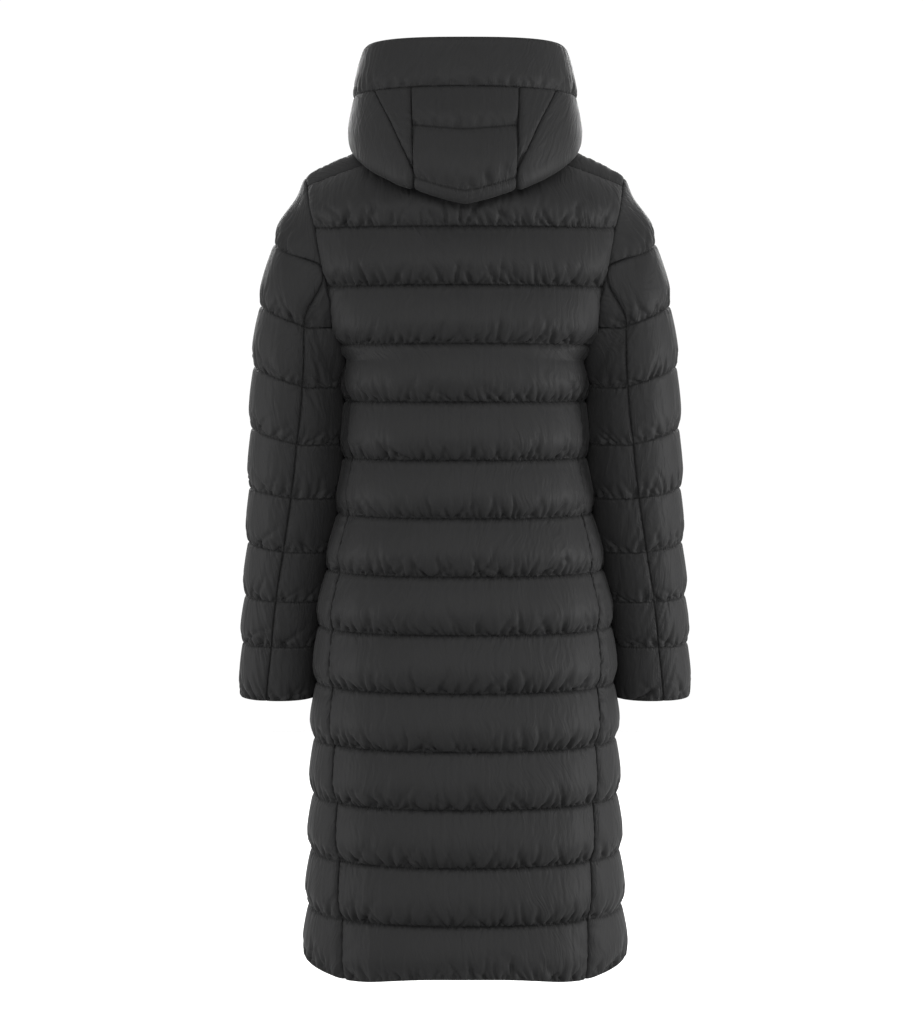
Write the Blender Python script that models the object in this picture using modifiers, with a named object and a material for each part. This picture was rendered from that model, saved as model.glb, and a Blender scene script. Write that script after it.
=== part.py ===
"""Long puffer coat: hollow, filled out as it is worn, with its hood laid back.

Metres, +Z up.  The front faces -Y and the wearer's left is +X.  The origin is
at the base of the neck, between the tops of the shoulders, where the coat
hangs from its wearer.

Every sewn panel is a wall of padded cloth.  Its inside is a plain surface,
worked out from the sections in the tables below, and its outside stands off
that surface by the wall's thickness plus the swell of the quilting.
"""
import bmesh
import bpy
from math import acos, asin, atan2, cos, hypot, pi, radians, sin
from mathutils import Vector

# --- Cloth ---------------------------------------------------------------
WALL = 0.003
HALF_GAP = 0.00015
BACK_SWELL = 0.016
SIDE_SWELL = 0.008
LOW_SIDE_SWELL = 0.011
SLEEVE_SWELL = 0.010
INNER_SLEEVE_SWELL = 0.002
HOOD_SWELL = 0.005

# --- Quilting of the body ------------------------------------------------
YOKE_Z = -0.125
QUILT_PITCH = 0.0733
CHANNELS_BELOW_YOKE = 13
HEM_Z = -1.069
# Where a channel has rows of points, from its upper seam to its lower one,
# and how far each row stands out.
CHANNEL_ROWS = ((0.0, 0.0), (0.30, 0.85), (0.72, 0.95))

# --- Body sections, from the underarm to the hem -------------------------
SECTION_POWER = 2.3
BODY_COLUMNS = ("z", "half_width", "half_depth", "side_seam_y")
BODY_SECTIONS = (
    (-0.345, 0.150, 0.120, 0.042),
    (-0.418, 0.151, 0.118, 0.049),
    (-0.491, 0.159, 0.119, 0.054),
    (-0.565, 0.173, 0.123, 0.059),
    (-0.638, 0.184, 0.126, 0.063),
    (-0.711, 0.187, 0.128, 0.068),
    (-0.858, 0.191, 0.130, 0.080),
    (-1.005, 0.197, 0.132, 0.092),
    (-1.069, 0.200, 0.133, 0.098),
)
YOKE_HALF_DEPTH = 0.116

# --- Shoulders, armholes and neckline ------------------------------------
SHOULDER_POWER = 1.6
RIDGE_HEIGHT = 0.038
RIDGE_SLOPE = 0.45
RIDGE_ROUNDING = 0.05
ARMHOLE_TOP_X = 0.205
ARMHOLE_LOW_X = 0.163
ARMHOLE_LOW_Z = -0.283
ARMHOLE_HALF_DEPTH = 0.070
ARMHOLE_NARROWING = 1.2
# How far the armhole's walls face outward and upward at its top, its side and its bottom.
ARMHOLE_TOP_FACING = (0.68, 0.73)
ARMHOLE_SIDE_FACING = (0.2, 0.98)
ARMHOLE_LOW_FACING = (0.1, -1.0)
SEAM_END_TURN = radians(26.6)
NECK_HALF_WIDTH = 0.082
NECK_BACK_Y = 0.070
NECK_FRONT_Y = 0.098
NECK_SEAM_TURN = radians(35)
NECK_START_TURN = radians(173.7)
NECK_BACK_DROP = 0.27
NECK_SIDE_RISE = 0.12
SHOULDER_SEAM_BLEND = 0.09
YOKE_FRONT_STEPS = 9
YOKE_CHANNEL_STEPS = 3
CORNER_HALF_DEPTH = 0.121
# The side panel draws in over this height just under the armhole.
LIP_DROP = 0.022
LIP_POWER = 0.7
LIP_STEP = 0.001

# --- How the swell dies away towards seams -------------------------------
YOKE_SWELL_SHARE = 0.7
EDGE_FADE = 0.16
EDGE_FADE_POWER = 0.6
YOKE_EDGE_FADE_POWER = 1.2
ZIP_FADE_START = 0.03
NECK_FADE = 0.35
SIDE_FADE_START = 0.55
SIDE_SWELL_SHARE = 0.75
FULLER_SIDE_Z = -0.70
FULLER_SIDE_DROP = 0.06
ARMHOLE_FADE_START = 0.004
ARMHOLE_FADE = 0.034
INNER_SLEEVE_END = -0.9
INNER_SLEEVE_BLEND = 0.8

# --- Zip -----------------------------------------------------------------
FRONT_EDGE_X = 0.0085
TAPE_INNER_X = 0.0004
TAPE_THICKNESS = 0.0016
TAPE_BENDS_Z = (-0.085, -0.105)

# --- Sleeves -------------------------------------------------------------
SLEEVE_SECTION_POWER = 2.2
SLEEVE_COLUMNS = ("z", "outer_x", "inner_x", "middle_y", "half_depth")
SLEEVE_SECTIONS = (
    (-0.057, 0.205, 0.185, 0.000, 0.030),
    (-0.100, 0.226, 0.175, 0.000, 0.055),
    (-0.145, 0.241, 0.168, -0.001, 0.068),
    (-0.222, 0.259, 0.172, -0.004, 0.075),
    (-0.300, 0.268, 0.171, -0.007, 0.077),
    (-0.380, 0.272, 0.170, -0.013, 0.075),
    (-0.458, 0.275, 0.173, -0.019, 0.071),
    (-0.530, 0.278, 0.184, -0.026, 0.067),
    (-0.602, 0.283, 0.196, -0.033, 0.063),
    (-0.667, 0.287, 0.2025, -0.038, 0.059),
    (-0.735, 0.289, 0.2065, -0.042, 0.056),
)
# A quilting seam's height at the back of the sleeve, how much higher it runs
# on the outside of the arm, and how far the long seams lean to the outside.
QUILT_COLUMNS = ("back_z", "rise", "seam_turn")
SLEEVE_QUILTING = (
    (-0.1000, 0.060, -4),
    (-0.1778, 0.035, -6),
    (-0.2511, 0.029, -8),
    (-0.3270, 0.027, -7),
    (-0.4000, 0.020, -1),
    (-0.4690, 0.011, 3),
    (-0.5390, 0.009, 6),
    (-0.6040, 0.003, 9),
    (-0.6640, 0.000, 11),
    (-0.7350, 0.000, 16),
)
SLEEVE_SEAM_Z = -0.1778
ARMHOLE_BLEND = 0.065
SHORTEST_ROW = 0.009
# The seams only rise beyond this far behind the sleeve's long seams.
OUTSIDE_MARGIN = radians(8)

# --- Hood, from the neckline (level 0) round the fold and up to the rim --
HOOD_COLUMNS = ("half_width", "back_y", "front_y", "back_z", "side_z", "front_z", "power", "swell")
HOOD_LEVELS = (
    (0.082, 0.070, 0.098, -0.0278, -0.0052, -0.068, 2.0, 0.0),
    (0.104, 0.096, 0.108, -0.020, 0.011, -0.052, 2.1, 0.0),
    (0.124, 0.123, 0.120, -0.047, 0.005, -0.053, 2.2, 0.3),
    (0.135, 0.139, 0.126, -0.081, -0.003, -0.054, 2.3, 0.5),
    (0.1405, 0.149, 0.129, -0.094, -0.006, -0.050, 2.3, 0.5),
    (0.142, 0.155, 0.129, -0.084, 0.000, -0.043, 2.3, 0.1),
    (0.143, 0.151, 0.128, -0.046, 0.010, -0.036, 2.35, 1.0),
    (0.142, 0.141, 0.126, -0.008, 0.021, -0.030, 2.4, 0.15),
    (0.140, 0.130, 0.123, 0.022, 0.034, -0.025, 2.5, 1.0),
    (0.138, 0.121, 0.119, 0.048, 0.046, -0.019, 2.6, 0.0),
    (0.1365, 0.119, 0.118, 0.061, 0.059, -0.011, 2.65, 1.2),
    (0.132, 0.114, 0.115, 0.084, 0.084, 0.003, 2.7, 1.2),
    (0.126, 0.108, 0.112, 0.103, 0.103, 0.012, 2.8, 0.4),
)
BRIM_SEAM_LEVEL = 9
BACK_TURN_POWER = 1.15
HOOD_END_TURN = radians(172.8)
STRIP_TURN = radians(23)
GUSSET_TURN = radians(27.3)
GUSSET_TIP_LEVEL = 5.3
GUSSET_TIP_STEP = 0.12
STRIP_STEPS = 6
GUSSET_STEPS = 2
HOOD_SIDE_STEPS = 12

# --- Zip slider and pull -------------------------------------------------
SLIDER_SIZE = (0.0085, 0.0026, 0.012)
BRIDGE_WIDTH = 0.0022
BRIDGE_HEIGHT = 0.0042
BRIDGE_LENGTH = 0.0090
BRIDGE_BAR = 0.0013
BRIDGE_ROOT = 0.0008
BRIDGE_CUT = 0.0002
METAL_BEVEL = 0.0003
PULL_BAR_RADIUS = 0.0007
PULL_WIDTH = 0.0075
PULL_THICKNESS = 0.0016
PULL_LENGTH = 0.032
PULL_ARM = 0.0016
PULL_WINDOW = 0.0060
# The pull hangs until it meets the slider's lower edge.
PULL_LEAN = radians(5)

# --- Columns across the panels -------------------------------------------
# The back has NECK_STEPS columns from its middle to the end of the shoulder
# seam, then one at each of these places from there to its edge.  A front has
# the same places, from the zip to its edge.
NECK_STEPS = 2
NECK_SHARE = 0.38
EDGE_PLACES = (0.0, 0.07, 0.30, 0.53, 0.73, 0.88, 0.965, 1.0)
SIDE_STEPS = 5
NUDGE = 0.0005


# --- Tables --------------------------------------------------------------
def look_up(table, columns, name, z):
    """Read a column of a table of sections, highest first, at a height."""
    place = columns.index(name)
    if z >= table[0][0]:
        return table[0][place]
    for upper, lower in zip(table, table[1:]):
        if z >= lower[0]:
            share = (upper[0] - z) / (upper[0] - lower[0])
            return upper[place] + (lower[place] - upper[place]) * share
    return table[-1][place]


def mix(first, second, share):
    return first + (second - first) * share


def ease(share):
    """Go from 0 to 1 with level ends."""
    share = min(max(share, 0.0), 1.0)
    return share * share * (3 - 2 * share)


def signed_power(value, power):
    return abs(value) ** power * (1 if value >= 0 else -1)


# --- Shape of the body ---------------------------------------------------
def ridge_z(x):
    """Height of the shoulder ridge, which falls away from the neck."""
    return RIDGE_HEIGHT - RIDGE_SLOPE * hypot(x, RIDGE_ROUNDING)


ARMHOLE_TOP_Z = ridge_z(ARMHOLE_TOP_X)
ARMHOLE_MIDDLE_Z = (ARMHOLE_TOP_Z + ARMHOLE_LOW_Z) / 2
ARMHOLE_HALF_HEIGHT = (ARMHOLE_TOP_Z - ARMHOLE_LOW_Z) / 2
CORNER_Z = YOKE_Z - 2 * QUILT_PITCH
FIRST_SIDE_SEAM_Z = CORNER_Z - QUILT_PITCH


def armhole_turn(z):
    """Angle round the armhole, from the shoulder, at which its back edge is at a height."""
    return acos((z - ARMHOLE_MIDDLE_Z) / ARMHOLE_HALF_HEIGHT)


def armhole_x(turn):
    rise = (1 + cos(turn)) / 2
    return mix(ARMHOLE_LOW_X, ARMHOLE_TOP_X, rise ** ARMHOLE_NARROWING)


def section_half_width(edge_x, edge_y, half_depth):
    """Half width of the section that passes through a panel's edge."""
    return edge_x / (1 - (edge_y / half_depth) ** SECTION_POWER) ** (1 / SECTION_POWER)


def section_y(x, half_width, half_depth):
    reach = max(0.0, 1 - (abs(x) / half_width) ** SECTION_POWER)
    return half_depth * reach ** (1 / SECTION_POWER)


YOKE_TURN = armhole_turn(YOKE_Z)
YOKE_EDGE_X = armhole_x(YOKE_TURN)
YOKE_EDGE_Y = ARMHOLE_HALF_DEPTH * sin(YOKE_TURN)
YOKE_HALF_WIDTH = section_half_width(YOKE_EDGE_X, YOKE_EDGE_Y, YOKE_HALF_DEPTH)


def shoulder_point(x, turn):
    """A point over the shoulder: turn 0 is at the yoke's back, pi at its front."""
    depth = section_y(x, YOKE_HALF_WIDTH, YOKE_HALF_DEPTH)
    height = ridge_z(x) - YOKE_Z
    y = depth * signed_power(cos(turn), 2 / SHOULDER_POWER)
    z = YOKE_Z + height * abs(sin(turn)) ** (2 / SHOULDER_POWER)
    return Vector((x, y, z))


def shoulder_turn(x, y):
    """The turn at which the shoulder surface has a given y."""
    depth = section_y(x, YOKE_HALF_WIDTH, YOKE_HALF_DEPTH)
    share = min(1.0, abs(y) / depth) ** (SHOULDER_POWER / 2)
    turn = acos(share)
    return turn if y >= 0 else pi - turn


def shoulder_turn_at(x, z, facing):
    """The turn at which the shoulder surface has a given height, on one side."""
    share = min(1.0, max(0.0, (z - YOKE_Z) / (ridge_z(x) - YOKE_Z)))
    turn = asin(share ** (SHOULDER_POWER / 2))
    return turn if facing > 0 else pi - turn


def armhole_place(turn):
    """Where the armhole runs on the shoulder surface, as x and turn over the shoulder."""
    x = armhole_x(turn)
    z = ARMHOLE_MIDDLE_Z + ARMHOLE_HALF_HEIGHT * cos(turn)
    return x, shoulder_turn_at(x, z, 1 if sin(turn) >= 0 else -1)


def armhole_point(turn):
    z = ARMHOLE_MIDDLE_Z + ARMHOLE_HALF_HEIGHT * cos(turn)
    if z >= YOKE_Z:
        x, over = armhole_place(turn)
        return shoulder_point(x, over)
    return Vector((armhole_x(turn), ARMHOLE_HALF_DEPTH * sin(turn), z))


def armhole_normal(turn):
    """Direction through the wall where body and sleeve meet."""
    top = max(cos(turn), 0.0)
    bottom = max(-cos(turn), 0.0)
    side = abs(sin(turn))
    outward = ARMHOLE_TOP_FACING[0] * top + ARMHOLE_SIDE_FACING[0] * side + ARMHOLE_LOW_FACING[0] * bottom
    upward = ARMHOLE_TOP_FACING[1] * top + ARMHOLE_LOW_FACING[1] * bottom
    return Vector((outward, ARMHOLE_SIDE_FACING[1] * sin(turn), upward)).normalized()


CORNER = armhole_point(armhole_turn(CORNER_Z))
CORNER_HALF_WIDTH = section_half_width(CORNER.x, CORNER.y, CORNER_HALF_DEPTH)
HIP_TABLE = ((CORNER_Z, CORNER_HALF_WIDTH, CORNER_HALF_DEPTH, CORNER.y),) + BODY_SECTIONS


def body_size(name, z):
    """A size of the body's section, which draws in quickly just under the armhole."""
    size = look_up(HIP_TABLE, BODY_COLUMNS, name, z)
    if name == "half_width" and z > BODY_SECTIONS[0][0]:
        below = BODY_SECTIONS[0][1] + LIP_STEP
        return mix(CORNER_HALF_WIDTH, below, ease((CORNER_Z - z) / LIP_DROP) ** LIP_POWER)
    return size


def half_depth_at(z):
    if z >= CORNER_Z:
        return mix(YOKE_HALF_DEPTH, CORNER_HALF_DEPTH, (YOKE_Z - z) / (YOKE_Z - CORNER_Z))
    return body_size("half_depth", z)


def panel_edge(z):
    """Where the back and front panels end, at the armhole or the side seam."""
    if z >= CORNER_Z:
        point = armhole_point(armhole_turn(z))
        return point.x, point.y
    edge_y = body_size("side_seam_y", z)
    depth = half_depth_at(z)
    reach = 1 - (edge_y / depth) ** SECTION_POWER
    return body_size("half_width", z) * reach ** (1 / SECTION_POWER), edge_y


def body_point(x, z, facing):
    """A point of the back (facing 1) or the front (facing -1), below the yoke."""
    edge_x, edge_y = panel_edge(z)
    depth = half_depth_at(z)
    half_width = section_half_width(edge_x, edge_y, depth)
    return Vector((x, facing * section_y(x, half_width, depth), z))


def body_normal(point, z):
    """Level direction out of the body's section."""
    edge_x, edge_y = panel_edge(z)
    depth = half_depth_at(z)
    half_width = section_half_width(edge_x, edge_y, depth)
    x_slope = signed_power(point.x / half_width, SECTION_POWER - 1) / half_width
    y_slope = signed_power(point.y / depth, SECTION_POWER - 1) / depth
    return Vector((x_slope, y_slope, 0.0)).normalized()


def shoulder_normal(x, turn):
    across = shoulder_point(x + NUDGE, turn) - shoulder_point(x - NUDGE, turn)
    first = max(turn - 0.02, 0.0)
    last = min(turn + 0.02, pi)
    along = shoulder_point(x, last) - shoulder_point(x, first)
    return along.cross(across).normalized()


def neck_point(turn):
    """A point of the neckline, turn 0 at the back and pi at the front."""
    x = NECK_HALF_WIDTH * sin(turn)
    y = (NECK_BACK_Y if cos(turn) >= 0 else NECK_FRONT_Y) * cos(turn)
    over = shoulder_turn(x, y)
    return shoulder_point(x, over), x, over


def neck_normal(turn):
    """Direction through the wall where the hood is sewn to the neckline."""
    drop = NECK_BACK_DROP * max(cos(turn), 0.0) ** 2 - NECK_SIDE_RISE * sin(turn) ** 2
    return Vector((sin(turn), cos(turn), -drop)).normalized()


def neck_turns():
    """Turns round the neckline of the body's points, from the back to the zip."""
    back = [NECK_SEAM_TURN * step / NECK_STEPS for step in range(NECK_STEPS)]
    steps = YOKE_FRONT_STEPS - YOKE_CHANNEL_STEPS
    return back + [mix(NECK_SEAM_TURN, NECK_START_TURN, step / steps) for step in range(steps + 1)]


def neck_edge(turn):
    """Point and normal of the neckline's edge, which is straight between the body's points."""
    turns = neck_turns()
    place = max(i for i, other in enumerate(turns[:-1]) if other <= turn + 1e-9)
    share = (turn - turns[place]) / (turns[place + 1] - turns[place])
    point = mix(neck_point(turns[place])[0], neck_point(turns[place + 1])[0], share)
    normal = mix(neck_normal(turns[place]), neck_normal(turns[place + 1]), share)
    return point, normal.normalized()


# --- Walls ---------------------------------------------------------------
def new_material(name, color, roughness, metallic=0.0):
    material = bpy.data.materials.new(name)
    material.use_nodes = True
    shader = material.node_tree.nodes["Principled BSDF"]
    shader.inputs["Base Color"].default_value = (*color, 1.0)
    shader.inputs["Roughness"].default_value = roughness
    shader.inputs["Metallic"].default_value = metallic
    return material


def add_object(name, mesh, material, smooth=True):
    thing = bpy.data.objects.new(name, mesh)
    coat.objects.link(thing)
    mesh.materials.append(material)
    if smooth:
        mesh.shade_smooth()
        mesh.set_sharp_from_angle(angle=radians(50))
    return thing


def step_towards(start, others):
    """Half a seam's gap from a point towards the first of others that is apart from it."""
    for other in others:
        if (other - start).length > 1e-5:
            return (other - start).normalized() * HALF_GAP
    return Vector((0, 0, 0))


def drawn_in(rows):
    """The rows' points, with the border drawn in by half a seam's gap."""
    last_row = len(rows) - 1
    last_column = len(rows[0]) - 1
    result = []
    for r, row in enumerate(rows):
        points = []
        for c, point in enumerate(row):
            moved = point.copy()
            if c == 0:
                moved += step_towards(point, row[1:])
            if c == last_column:
                moved += step_towards(point, row[-2::-1])
            if r == 0:
                moved += step_towards(point, [other[c] for other in rows[1:]])
            if r == last_row:
                moved += step_towards(point, [other[c] for other in rows[-2::-1]])
            points.append(moved)
        result.append(points)
    return result


def add_border(mesh, near, far, far_inside, near_inside):
    """Close a wall's border with two triangles, cut the same way on both sides of the body.

    Neighbours share their twisted seams, so they must be cut along the same line.
    """
    if abs(near.co.x) > abs(far.co.x):
        mesh.faces.new((near, far, far_inside))
        mesh.faces.new((near, far_inside, near_inside))
    else:
        mesh.faces.new((near, far, near_inside))
        mesh.faces.new((far, far_inside, near_inside))


def make_wall(name, material, points, normals, swells, inner_rows):
    """Make a wall from rows of inside points, their normals and their swells.

    Rows that run together into one point, where an armhole cuts across them,
    are merged.  The inside only has the rows listed in inner_rows.
    """
    points = drawn_in(points)
    mesh = bmesh.new()
    row_count = len(points)
    column_count = len(points[0])
    outer = [[mesh.verts.new(points[r][c] + normals[r][c] * (WALL + swells[r][c]))
              for c in range(column_count)] for r in range(row_count)]
    inner = {r: [mesh.verts.new(point) for point in points[r]] for r in inner_rows}
    for r in (0, row_count - 1):
        for c in range(column_count - 1):
            add_border(mesh, outer[r][c], outer[r][c + 1], inner[r][c + 1], inner[r][c])
    for first, last in zip(inner_rows, inner_rows[1:]):
        for c in range(column_count - 1):
            mesh.faces.new((inner[first][c], inner[last][c],
                            inner[last][c + 1], inner[first][c + 1]))
        for c in (0, column_count - 1):
            edge = [outer[r][c] for r in range(first, last + 1)]
            mesh.faces.new(edge + [inner[last][c], inner[first][c]])
    for r in range(row_count - 1):
        for c in range(column_count - 1):
            mesh.faces.new((outer[r][c], outer[r][c + 1], outer[r + 1][c + 1], outer[r + 1][c]))
    bmesh.ops.remove_doubles(mesh, verts=mesh.verts[:], dist=2e-5)
    bmesh.ops.dissolve_degenerate(mesh, edges=mesh.edges[:], dist=2e-5)
    bmesh.ops.triangulate(mesh, faces=[f for f in mesh.faces if len(f.verts) > 4])
    bmesh.ops.recalc_face_normals(mesh, faces=mesh.faces[:])
    data = bpy.data.meshes.new(name)
    mesh.to_mesh(data)
    mesh.free()
    return add_object(name, data, material)


def mirrored(rows):
    return [[Vector((-point.x, point.y, point.z)) for point in row] for row in rows]


def make_pair(name, material, points, normals, swells, inner_rows):
    """Make a wall on the wearer's left and its mirror image on the right."""
    make_wall(name + "_left", material, points, normals, swells, inner_rows)
    make_wall(name + "_right", material, mirrored(points), mirrored(normals), swells, inner_rows)


# --- Rows of the body ----------------------------------------------------
def body_rows():
    """Heights of the body's rows, their swell, and which rows are seams."""
    rows = []
    for channel in range(CHANNELS_BELOW_YOKE):
        top = YOKE_Z - channel * QUILT_PITCH
        bottom = max(top - QUILT_PITCH, HEM_Z)
        for share, swell in CHANNEL_ROWS:
            rows.append((mix(top, bottom, share), swell, share == 0.0))
    rows.append((HEM_Z, 0.0, True))
    return rows


BODY_ROWS = body_rows()


def kept_inside(first_z):
    """Rows that the plain inside keeps: all by the armholes, and seams below."""
    rows = [row for row in BODY_ROWS if row[0] <= first_z + 1e-6]
    return [i for i, (z, swell, seam) in enumerate(rows) if seam or z > FIRST_SIDE_SEAM_Z]


def across_fade(share, z=HEM_Z):
    """How much of the swell is left near a panel's long edges."""
    power = EDGE_FADE_POWER if z < CORNER_Z else YOKE_EDGE_FADE_POWER
    return min(1.0, (max(0.0, 1 - abs(share)) / EDGE_FADE)) ** power


def side_swell_at(z):
    return mix(SIDE_SWELL, LOW_SIDE_SWELL, ease((FULLER_SIDE_Z - z) / FULLER_SIDE_DROP))


def panel_swell(z, swell, share):
    """Swell of a back or front panel at a row, from its middle (0) to an edge (1)."""
    near_side = ease((abs(share) - SIDE_FADE_START) / (1 - SIDE_FADE_START))
    full = mix(BACK_SWELL, side_swell_at(z), near_side)
    return full * swell * across_fade(share, z)


def back_shares():
    """Places of the columns across the back, from its right edge (-1) to its left (1)."""
    half = [NECK_SHARE * c / NECK_STEPS for c in range(1, NECK_STEPS)]
    half += [mix(NECK_SHARE, 1.0, place) for place in EDGE_PLACES]
    return [-share for share in reversed(half)] + [0.0] + half


def over_shoulder(x, turn):
    """A point and normal of the shoulder surface on either side of the body."""
    side = 1 if x >= 0 else -1
    point = shoulder_point(abs(x), turn)
    normal = shoulder_normal(abs(x), turn)
    return Vector((side * point.x, point.y, point.z)), Vector((side * normal.x, normal.y, normal.z))


def seam_row_normal(share, normal, neck_turn, side):
    """Normal along the neckline and the shoulder seam, which turn into each other."""
    at_neck = neck_normal(neck_turn)
    at_neck.x *= side
    away = min(1.0, max(0.0, share - NECK_SHARE) / SHOULDER_SEAM_BLEND)
    return mix(at_neck, normal, away).normalized()


def make_back(material):
    shares = back_shares()
    middle = len(shares) // 2
    points, normals, swells = [], [], []
    seam_x, seam_over = armhole_place(SEAM_END_TURN)
    neck_x, neck_over = neck_point(NECK_SEAM_TURN)[1:]
    for step in range(len(CHANNEL_ROWS), 0, -1):
        rise = 1.0 if step == len(CHANNEL_ROWS) else CHANNEL_ROWS[step][0]
        swell = 0.0 if step == len(CHANNEL_ROWS) else CHANNEL_ROWS[step][1]
        row, row_normals, row_swells = [], [], []
        for c, share in enumerate(shares):
            side = 1 if share >= 0 else -1
            column = abs(c - middle)
            neck_turn = NECK_SEAM_TURN * min(column / NECK_STEPS, 1.0)
            if column <= NECK_STEPS:
                top_x, top_over = neck_point(neck_turn)[1:]
            else:
                place = (abs(share) - NECK_SHARE) / (1 - NECK_SHARE)
                top_x = mix(neck_x, seam_x, place)
                top_over = mix(neck_over, seam_over, place)
            over = top_over * rise
            x = mix(abs(share) * YOKE_EDGE_X, top_x, rise)
            if column == middle:
                edge_turn = mix(YOKE_TURN, SEAM_END_TURN, rise)
                x, over = armhole_place(edge_turn)
            point, normal = over_shoulder(side * x, over)
            if column == middle:
                normal = armhole_normal(edge_turn)
                normal.x *= side
            elif rise == 1.0:
                normal = seam_row_normal(abs(share), normal, neck_turn, side)
            row.append(point)
            row_normals.append(normal)
            full = BACK_SWELL * YOKE_SWELL_SHARE * swell
            row_swells.append(full * across_fade(share, YOKE_Z))
        points.append(row)
        normals.append(row_normals)
        swells.append(row_swells)
    for z, swell, seam in BODY_ROWS:
        edge_x = panel_edge(z)[0]
        row = [body_point(share * edge_x, z, 1) for share in shares]
        row_normals = [body_normal(point, z) for point in row]
        if z >= CORNER_Z - 1e-6:
            edge_normal = armhole_normal(armhole_turn(z))
            row_normals[-1] = edge_normal
            row_normals[0] = Vector((-edge_normal.x, edge_normal.y, edge_normal.z))
        points.append(row)
        normals.append(row_normals)
        swells.append([panel_swell(z, swell, share) for share in shares])
    yoke_rows = len(CHANNEL_ROWS)
    kept = list(range(yoke_rows)) + [yoke_rows + i for i in kept_inside(YOKE_Z)]
    make_wall("back_panel", material, points, normals, swells, kept)


def zip_fade(place):
    """How much of the swell is left near the zip."""
    if place == 0:
        return 0.0
    return min(1.0, (place + ZIP_FADE_START) / EDGE_FADE) ** EDGE_FADE_POWER


def make_fronts(material):
    places = EDGE_PLACES
    last = len(places) - 1
    points, normals, swells = [], [], []
    neck_start_over = neck_point(NECK_START_TURN)[2]
    corner_step = YOKE_CHANNEL_STEPS
    for step in range(YOKE_FRONT_STEPS, 0, -1):
        edge_turn = mix(-YOKE_TURN, SEAM_END_TURN, step / YOKE_FRONT_STEPS)
        outer_x, outer_over = armhole_place(edge_turn)
        neck_turn = None
        if step >= corner_step:
            along = (step - corner_step) / (YOKE_FRONT_STEPS - corner_step)
            neck_turn = mix(NECK_START_TURN, NECK_SEAM_TURN, along)
            inner_x, inner_over = neck_point(neck_turn)[1:]
        else:
            inner_x = FRONT_EDGE_X
            inner_over = mix(pi, neck_start_over, step / corner_step)
        row, row_normals, row_swells = [], [], []
        for c, place in enumerate(places):
            x = mix(inner_x, outer_x, place)
            point, normal = over_shoulder(x, mix(inner_over, outer_over, place))
            if c == last:
                normal = armhole_normal(edge_turn)
            elif step == YOKE_FRONT_STEPS:
                normal = seam_row_normal(mix(NECK_SHARE, 1.0, place), normal, NECK_SEAM_TURN, 1)
            elif c == 0 and neck_turn is not None:
                normal = neck_normal(neck_turn)
            row.append(point)
            row_normals.append(normal)
            full = BACK_SWELL * YOKE_SWELL_SHARE * CHANNEL_ROWS[-step % YOKE_CHANNEL_STEPS][1]
            inner_fade = zip_fade(place) if neck_turn is None else min(1.0, place / NECK_FADE)
            row_swells.append(full * inner_fade * across_fade(place, YOKE_Z))
        points.append(row)
        normals.append(row_normals)
        swells.append(row_swells)
    for z, swell, seam in BODY_ROWS:
        edge_x = panel_edge(z)[0]
        row = [body_point(mix(FRONT_EDGE_X, edge_x, place), z, -1) for place in places]
        row_normals = [body_normal(point, z) for point in row]
        if z >= CORNER_Z - 1e-6:
            row_normals[-1] = armhole_normal(-armhole_turn(z))
        points.append(row)
        normals.append(row_normals)
        swells.append([panel_swell(z, swell, place) * zip_fade(place) for place in places])
    kept = list(range(YOKE_FRONT_STEPS)) + [YOKE_FRONT_STEPS + i for i in kept_inside(YOKE_Z)]
    make_pair("front", material, points, normals, swells, kept)


def underarm_turns():
    """Turns round the armhole's lower end, from the back corner to the front one."""
    start = armhole_turn(CORNER_Z)
    return [mix(start, 2 * pi - start, c / SIDE_STEPS) for c in range(SIDE_STEPS + 1)]


def side_point(share, z):
    """A point of a side panel, share 1 at its back seam and -1 at its front seam."""
    edge_y = body_size("side_seam_y", z)
    depth = half_depth_at(z)
    y = edge_y * share
    reach = 1 - (abs(y) / depth) ** SECTION_POWER
    return Vector((body_size("half_width", z) * reach ** (1 / SECTION_POWER), y, z))


def make_sides(material):
    turns = underarm_turns()
    top = [armhole_point(turn) for turn in turns]
    shares = [point.y / top[0].y for point in top]
    points = [top]
    normals = [[armhole_normal(turn) for turn in turns]]
    swells = [[0.0] * len(turns)]
    for z, swell, seam in BODY_ROWS:
        if z > CORNER_Z - 1e-6:
            continue
        row = []
        for c, share in enumerate(shares):
            level = z
            if z > FIRST_SIDE_SEAM_Z + 1e-6 and 0 < c < SIDE_STEPS:
                level = mix(top[c].z, FIRST_SIDE_SEAM_Z, (CORNER_Z - z) / QUILT_PITCH)
            row.append(side_point(share, level))
        points.append(row)
        normals.append([body_normal(point, point.z) for point in row])
        full = side_swell_at(z) * swell * SIDE_SWELL_SHARE
        swells.append([0.0] + [full] * (len(shares) - 2) + [0.0])
    below = [row for row in BODY_ROWS if row[0] < CORNER_Z - 1e-6]
    kept = [1 + i for i, (z, swell, seam) in enumerate(below) if seam or z > FIRST_SIDE_SEAM_Z]
    make_pair("side_panel", material, points, normals, swells, [0] + kept)


# --- Sleeves -------------------------------------------------------------
def sleeve_turns():
    """Turns round the armhole of the sleeve's columns, the same as the body's points."""
    heights = [z for z, swell, seam in BODY_ROWS if z >= CORNER_Z - 1e-6]
    up_back = [armhole_turn(z) for z in reversed(heights)]
    yoke_back = [mix(YOKE_TURN, SEAM_END_TURN, share) for share, swell in CHANNEL_ROWS[1:]]
    over = [mix(SEAM_END_TURN, -YOKE_TURN, step / YOKE_FRONT_STEPS) for step in range(YOKE_FRONT_STEPS)]
    down_front = [-armhole_turn(z) for z in heights]
    under = [turn - 2 * pi for turn in underarm_turns()[1:-1]]
    return up_back + yoke_back + over + down_front + list(reversed(under))


def sleeve_size(name, z):
    return look_up(SLEEVE_SECTIONS, SLEEVE_COLUMNS, name, z)


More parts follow.
